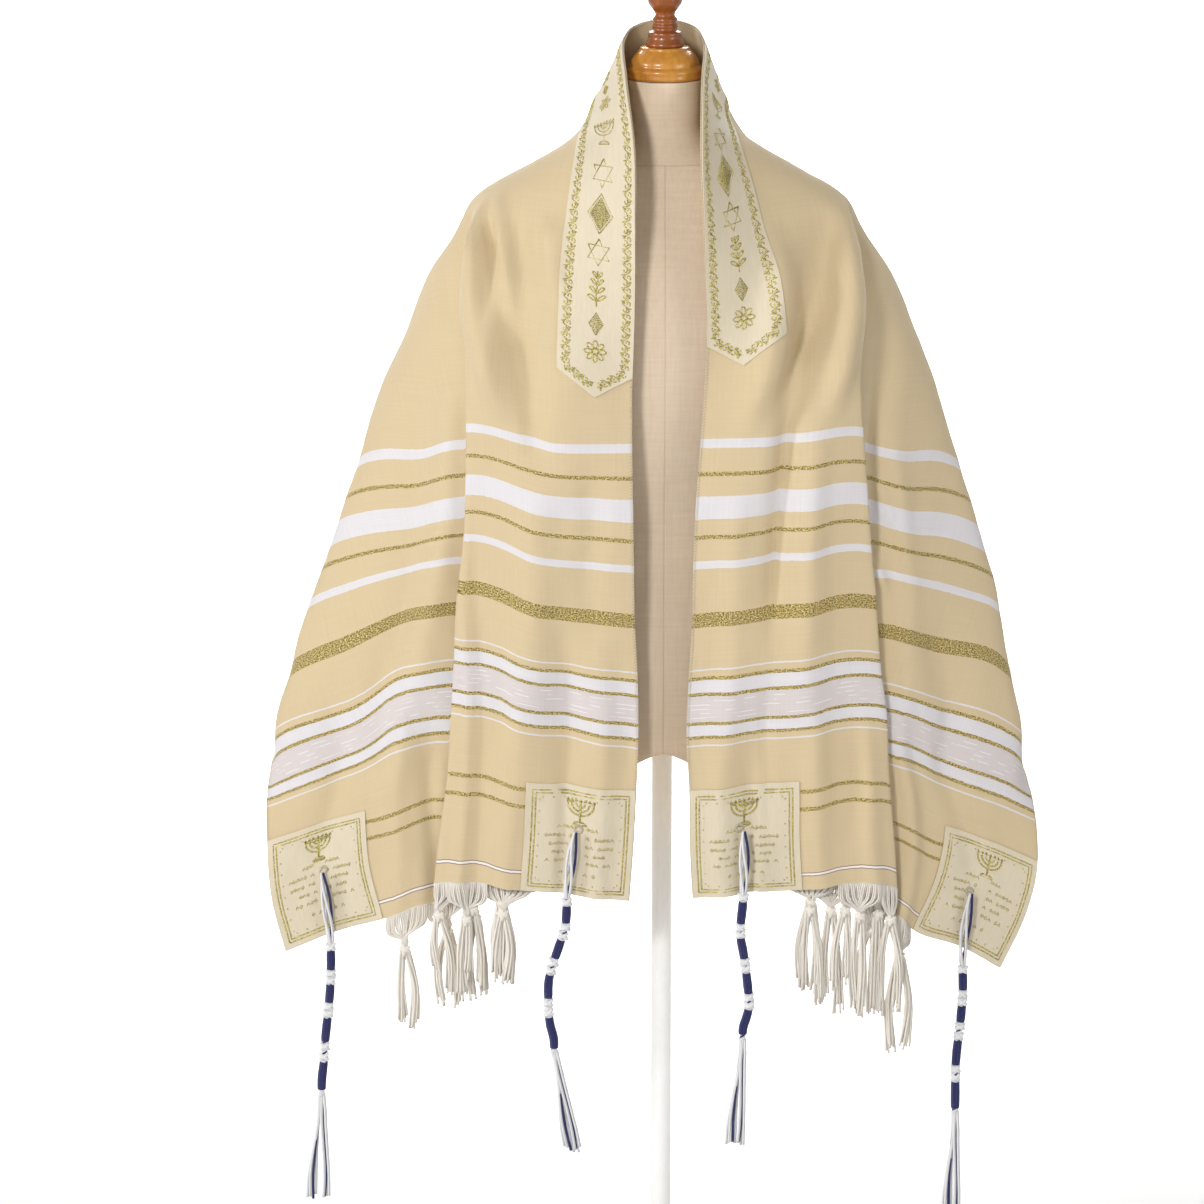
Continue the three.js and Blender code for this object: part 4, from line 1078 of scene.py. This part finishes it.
def edge_stitches(edge):
    """Overlocking along a long edge."""
    at = np.arange(OVERLOCK_PITCH, LENGTH - OVERLOCK_PITCH, OVERLOCK_PITCH)[:, None]
    inset, lift, shift = np.array([(2.6, 0.75, 0.0), (0.9, 1.15, 0.9), (-0.2, 0.2, 1.6), (0.9, -0.9, 0.9)]).T
    soup = Soup()
    for stitch in edge_points(inset, at + shift, lift, edge):
        soup.tube(stitch, OVERLOCK_THREAD, 4)
    return soup.build(edge + "_edge_overlock", "edge")


# ---- fringe ----
FRINGE_REACH = {"left": (100, 128), "right": (122, 152)}
FRINGE_SHOWS = {"left": 162.0, "right": 150.0}     # the tuck's inner yarns are drawn out to here
FRINGE_PITCH = 24.5
FRINGE_MARGIN = 4.0
LOBE_YARNS, LOBE_THREAD = 13, 1.05
TAIL_YARNS, TAIL_THREAD = 9, 1.3
COIL_THREAD = 2.1
PAIR_SHARE = 0.4                # how many knots gather two lobes in place of one


def hem_line(side):
    """The hem's length from where the fringe starts, round the tuck, to the outer patch, and its points."""
    hem = Sections(side, np.array([0.0]))
    start = FRINGE_START / hem.front_end[0]
    stop = 3.0 - PATCH_WIDTH / hem.side_width[0]
    tuck = ACROSS[(ACROSS > 1) & (ACROSS < 2)]
    across = np.concatenate([np.linspace(start, 1, 30), tuck, np.linspace(2, stop, 60)])
    points = cloth_points(side, 0.0, across)
    at = run(points)
    return at[-1], lambda distance: np.array([np.interp(distance, at, column) for column in points.T])


def loose_tail(soup, start, end, sway):
    """A flat bunch of yarns from a knot down to their cut ends, which part a little."""
    path = resample([start, start * 0.55 + end * 0.45 + sway, end], 3.4)
    first, second = cross_directions(path)
    at = np.linspace(0, 1, len(path))
    lean = random.uniform(-1, 1)
    for k in range(TAIL_YARNS):
        turn = 2.4 * k + lean * at
        reach = math.sqrt((k + 0.5) / TAIL_YARNS) * (2.3 + 1.6 * np.sqrt(at) + 1.3 * at ** 4)
        wander = 0.5 * np.sin(6 * at + 1.7 * k)
        yarn = beside(path, first, second, 0.6 * reach * np.cos(turn), 1.15 * reach * np.sin(turn) + wander)
        soup.tube(yarn[:len(path) - random.randint(0, 3)], TAIL_THREAD, 5)


def make_fringe(side):
    length, hem = hem_line(side)
    width = length - 2 * FRINGE_MARGIN
    soup = Soup()
    count = int(round(width / FRINGE_PITCH))
    pitch = width / count
    lobe = 0
    while lobe < count:
        joined = 2 if lobe + 1 < count and random.random() < PAIR_SHARE else 1
        centres = [FRINGE_MARGIN + pitch * (lobe + k + 0.5) for k in range(joined)]
        lobe += joined
        middle = sum(centres) / joined + random.uniform(-3, 3)
        drop = random.uniform(30, 42) + (4 if joined == 2 else 0)
        knot = hem(middle) + (0, random.uniform(-2.5, 2.5), -drop)
        knot[0] = SIGN[side] * max(abs(knot[0]), FRINGE_SHOWS[side] + random.uniform(0, 6))
        for centre in centres:
            for k in range(LOBE_YARNS):
                part = 2 * k / (LOBE_YARNS - 1) - 1
                spread = part * pitch * 0.47
                depth = 2.2 * math.cos(k * 2.1) * (1 - abs(part) * 0.5)
                root = hem(centre + spread) + (0, 0, 0.3)
                belly = hem(centre + spread * 1.12 + (middle - centre) * 0.2) + (0, depth, -drop * 0.46)
                waist = knot + (spread * 0.3, depth * 0.6, drop * 0.15)
                soup.tube(resample([root, belly, waist, knot], 4.0), LOBE_THREAD, 5)
        turn = np.linspace(0, 1, 11)
        for hand in (-1, 1):
            angle = 2 * np.pi * turn * 1.15 + hand
            coil = np.stack([4.2 * np.cos(angle), 3.2 * np.sin(angle), hand * (3.4 - 6.4 * turn) - 1.0], axis=1)
            soup.tube(knot + coil, COIL_THREAD, 7)
        soup.tube(knot + [(0, 0, 5), (0, 0, 1), (0, 0, -4), (0, 0, -8)], np.array([2.6, 4.2, 4.2, 2.8]), 9)
        for hand in (-1, 1):
            reach = random.uniform(*FRINGE_REACH[side]) - drop
            lean = hand * random.uniform(2, 10)
            end = knot + (lean, random.uniform(-5, 5), -reach)
            sway = (lean * 0.5 + random.uniform(-3, 3), random.uniform(-2, 2), 0)
            loose_tail(soup, knot + (hand * 2.6, 0, -3), end, sway)
    piece = soup.build(f"{side}_knotted_fringe", "fringe")
    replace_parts(piece, f"{side}_hem_fringe")
    return piece


# ---- the dress form ----
CAP_Z = 1414.0
KNOB_Z = 1446.0
TORSO_FLOOR_Z = 734.0
TORSO_SQUARE = 0.92
TORSO_SIDES, TURNED_SIDES = 144, 72
ARCH_DROP = 16.0
ARCH_WIDTH = 46.0
TORSO = [    # height, half width, front, back
    (734, 168, -95, 92), (800, 169, -95, 92), (850, 161, -91, 87), (900, 150, -86, 80), (950, 135, -84, 74),
    (1000, 128, -86, 71), (1050, 136, -92, 74), (1100, 150, -97, 79), (1150, 168, -98, 83), (1200, 186, -93, 85),
    (1250, 182, -81, 82), (1280, 171, -69, 78), (1300, 151, -64, 74), (1316, 120, -60, 69), (1330, 83, -56, 62),
    (1342, 56, -50, 54), (1360, 40, -42, 42), (1385, 37, -38, 38), (1413.7, 37, -37, 37),
]
# The turned wood, as radius and height above the piece's foot.
CAP_PROFILE = [
    (36.3, 0.3), (38, 1.6), (38, 6), (38, 10), (36.6, 12), (34.8, 13.2), (34.2, 17), (31.4, 22.6), (27, 27.4),
    (25, 29.4), (24.4, 31.6)]
KNOB_PROFILE = [
    (19, 0.3), (19.5, 2), (18.4, 5), (16.8, 9), (16.3, 14.5), (13, 16.5), (12.4, 18.4), (13.4, 20.6), (12.4, 22.8),
    (11.8, 24), (12.6, 26.4), (11.6, 28.8), (10, 31), (10.6, 34), (14.4, 39), (17.2, 44), (17.6, 48), (16.6, 54),
    (13.8, 62), (10.8, 70), (8.8, 77), (8.6, 81), (10.2, 85), (11.2, 89), (10.4, 93.4), (6.6, 97), (1.5, 98.4)]


def torso_rings(ups, turn):
    """Rounded-square rings of the torso at a list of heights."""
    table = np.array(TORSO, float)
    half, front, back = spline(table[:, 0], table[:, 1:], ups)[:, :, None].swapaxes(0, 1)
    cosine, sine = (np.sign(x) * np.abs(x) ** TORSO_SQUARE for x in (np.cos(turn), np.sin(turn)))
    x = half * cosine
    return np.stack([x, (front + back) / 2 + (back - front) / 2 * sine, np.broadcast_to(ups[:, None], x.shape)],
                    axis=-1)


def solid(name, rings, material, node):
    soup = Soup()
    soup.rings(rings)
    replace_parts(soup.build(name, material), node)


def make_torso():
    turn = around(TORSO_SIDES)
    ups = np.concatenate([[TORSO_FLOOR_Z], np.linspace(TORSO_FLOOR_Z + 8, 1180, 70), np.linspace(1186, 1290, 18)[1:],
                          np.linspace(1293, CAP_Z - 1.8, 60), [CAP_Z - 0.9, CAP_Z - 0.4]])
    rings = torso_rings(ups, turn)
    rings[-2, :, :2] = rings[-3, :, :2]
    rings[-1, :, :2] *= 0.97
    rim = rings[0]
    rim[:, 2] -= ARCH_DROP * smooth(np.abs(rim[:, 0]) / ARCH_WIDTH)
    lower = rim * (0.985, 0.985, 1.0) - (0, 0, 1.2)
    floor = rim * (0.2, 0.2, 0.0) + (0, 0, TORSO_FLOOR_Z)
    solid("torso_linen_cover", np.concatenate([[floor, lower], rings]), "linen", "dress_form_torso")


def turned(name, profile, foot, material, node):
    radius, height = resample(profile, 1.0).T[:, :, None]
    turn = around(TURNED_SIDES)
    rings = np.broadcast_arrays(radius * np.cos(turn), radius * np.sin(turn), foot + height)
    solid(name, np.stack(rings, axis=-1), material, node)


def make_form():
    make_torso()
    turned("neck_cap_turned", CAP_PROFILE, CAP_Z, "cap", "dress_form_neck_cap")
    turned("finial_turned", KNOB_PROFILE, KNOB_Z, "knob", "dress_form_knob")
    for node in ("pole", "base"):
        for slot in bpy.data.objects["dress_form_" + node].material_slots:
            slot.material = MATERIALS[node]


# ---- floor, light and world ----
FLOOR_GREY = 0.62
LIGHTS = [    # name, place, target, size in metres, power in watts
    ("key", (-1.65, -3.6, 3.0), (0.0, 0.0, 1.0), 0.7, 98),
    ("side", (-3.8, -1.5, 2.4), (0.0, 0.0, 1.0), 0.7, 58),
    ("fill", (3.0, -2.4, 1.9), (0.0, 0.0, 1.0), 1.6, 32),
    ("far_left", (-3.0, 7.5, 5.0), (-3.0, 7.5001, 0.0), 4.0, 700),
    ("far_right", (3.0, 7.5, 5.0), (3.0, 7.5001, 0.0), 4.0, 700),
    ("far", (0.0, 13.0, 5.0), (0.0, 13.0001, 0.0), 5.0, 1500),
]
# The world's brightness from the first height of the view to the second.
WORLD_HEIGHTS, WORLD_STRENGTHS = (0.06, 0.5), (0.68, 0.16)


def add_floor():
    mesh = bpy.data.meshes.new("studio_floor")
    mesh.from_pydata([(-9, -7, 0), (9, -7, 0), (9, 14, 0), (-9, 14, 0)], [], [(0, 1, 2, 3)])
    shader = Shader("studio_floor", roughness=0.9)
    light, dark = ((grey, grey, grey, 1.0) for grey in (FLOOR_GREY, FLOOR_GREY * 0.99))
    shader.feed(shader.surface["Base Color"], shader.mix(shader.place_noise(40, 2.0), light, dark))
    mesh.materials.append(shader.material)
    place_object("studio_floor", mesh)


def add_light(name, place, target, size, power):
    light = bpy.data.lights.new(name, "AREA")
    light.shape = "DISK"
    light.size = size
    light.energy = power
    x, y, z = (t - p for p, t in zip(place, target))
    turn = (math.pi / 2 + math.atan2(z, math.hypot(x, y)), 0.0, math.atan2(y, x) - math.pi / 2)
    place_object(name, light, place).rotation_euler = turn


def add_wash():
    """A spot straight down on the floor behind, whose cone clears the shawl."""
    light = bpy.data.lights.new("wash", "SPOT")
    light.energy = 1000
    light.spot_size = math.radians(72)
    light.spot_blend = 0.25
    light.shadow_soft_size = 0.4
    place_object("wash", light, (0.0, 2.7, 3.2))


def add_world():
    """White round the horizon and dimmer overhead."""
    world = bpy.data.worlds.new("studio")
    nodes = Nodes(world, "Background")
    up = nodes.node("ShaderNodeSeparateXYZ", {0: nodes.node("ShaderNodeTexCoord")["Generated"]})[2]
    spans = dict(enumerate((up, *WORLD_HEIGHTS, *WORLD_STRENGTHS)))
    strength = nodes.node("ShaderNodeMapRange", spans, interpolation_type="SMOOTHSTEP")[0]
    nodes.feed(nodes.surface["Color"], (1.0, 1.0, 1.0, 1.0))
    nodes.feed(nodes.surface["Strength"], strength)
    bpy.context.scene.world = world


def add_studio():
    add_floor()
    add_world()
    for light in LIGHTS:
        add_light(*light)
    add_wash()
    view = bpy.context.scene.view_settings
    view.view_transform = "Standard"
    view.exposure = 0.0


add_camera()
make_tassels()
cloth = make_cloth()
sewn = [make_collar(), collar_embroidery()]
for side in SIGN:
    for place in ("front", "outer"):
        sewn += [make_patch(side, place), *patch_embroidery(side, place), eyelet(side, place)]
sewn += [edge_stitches(edge) for edge in ("front", "back")]
sewn += [make_fringe(side) for side in SIGN]
make_form()
add_studio()
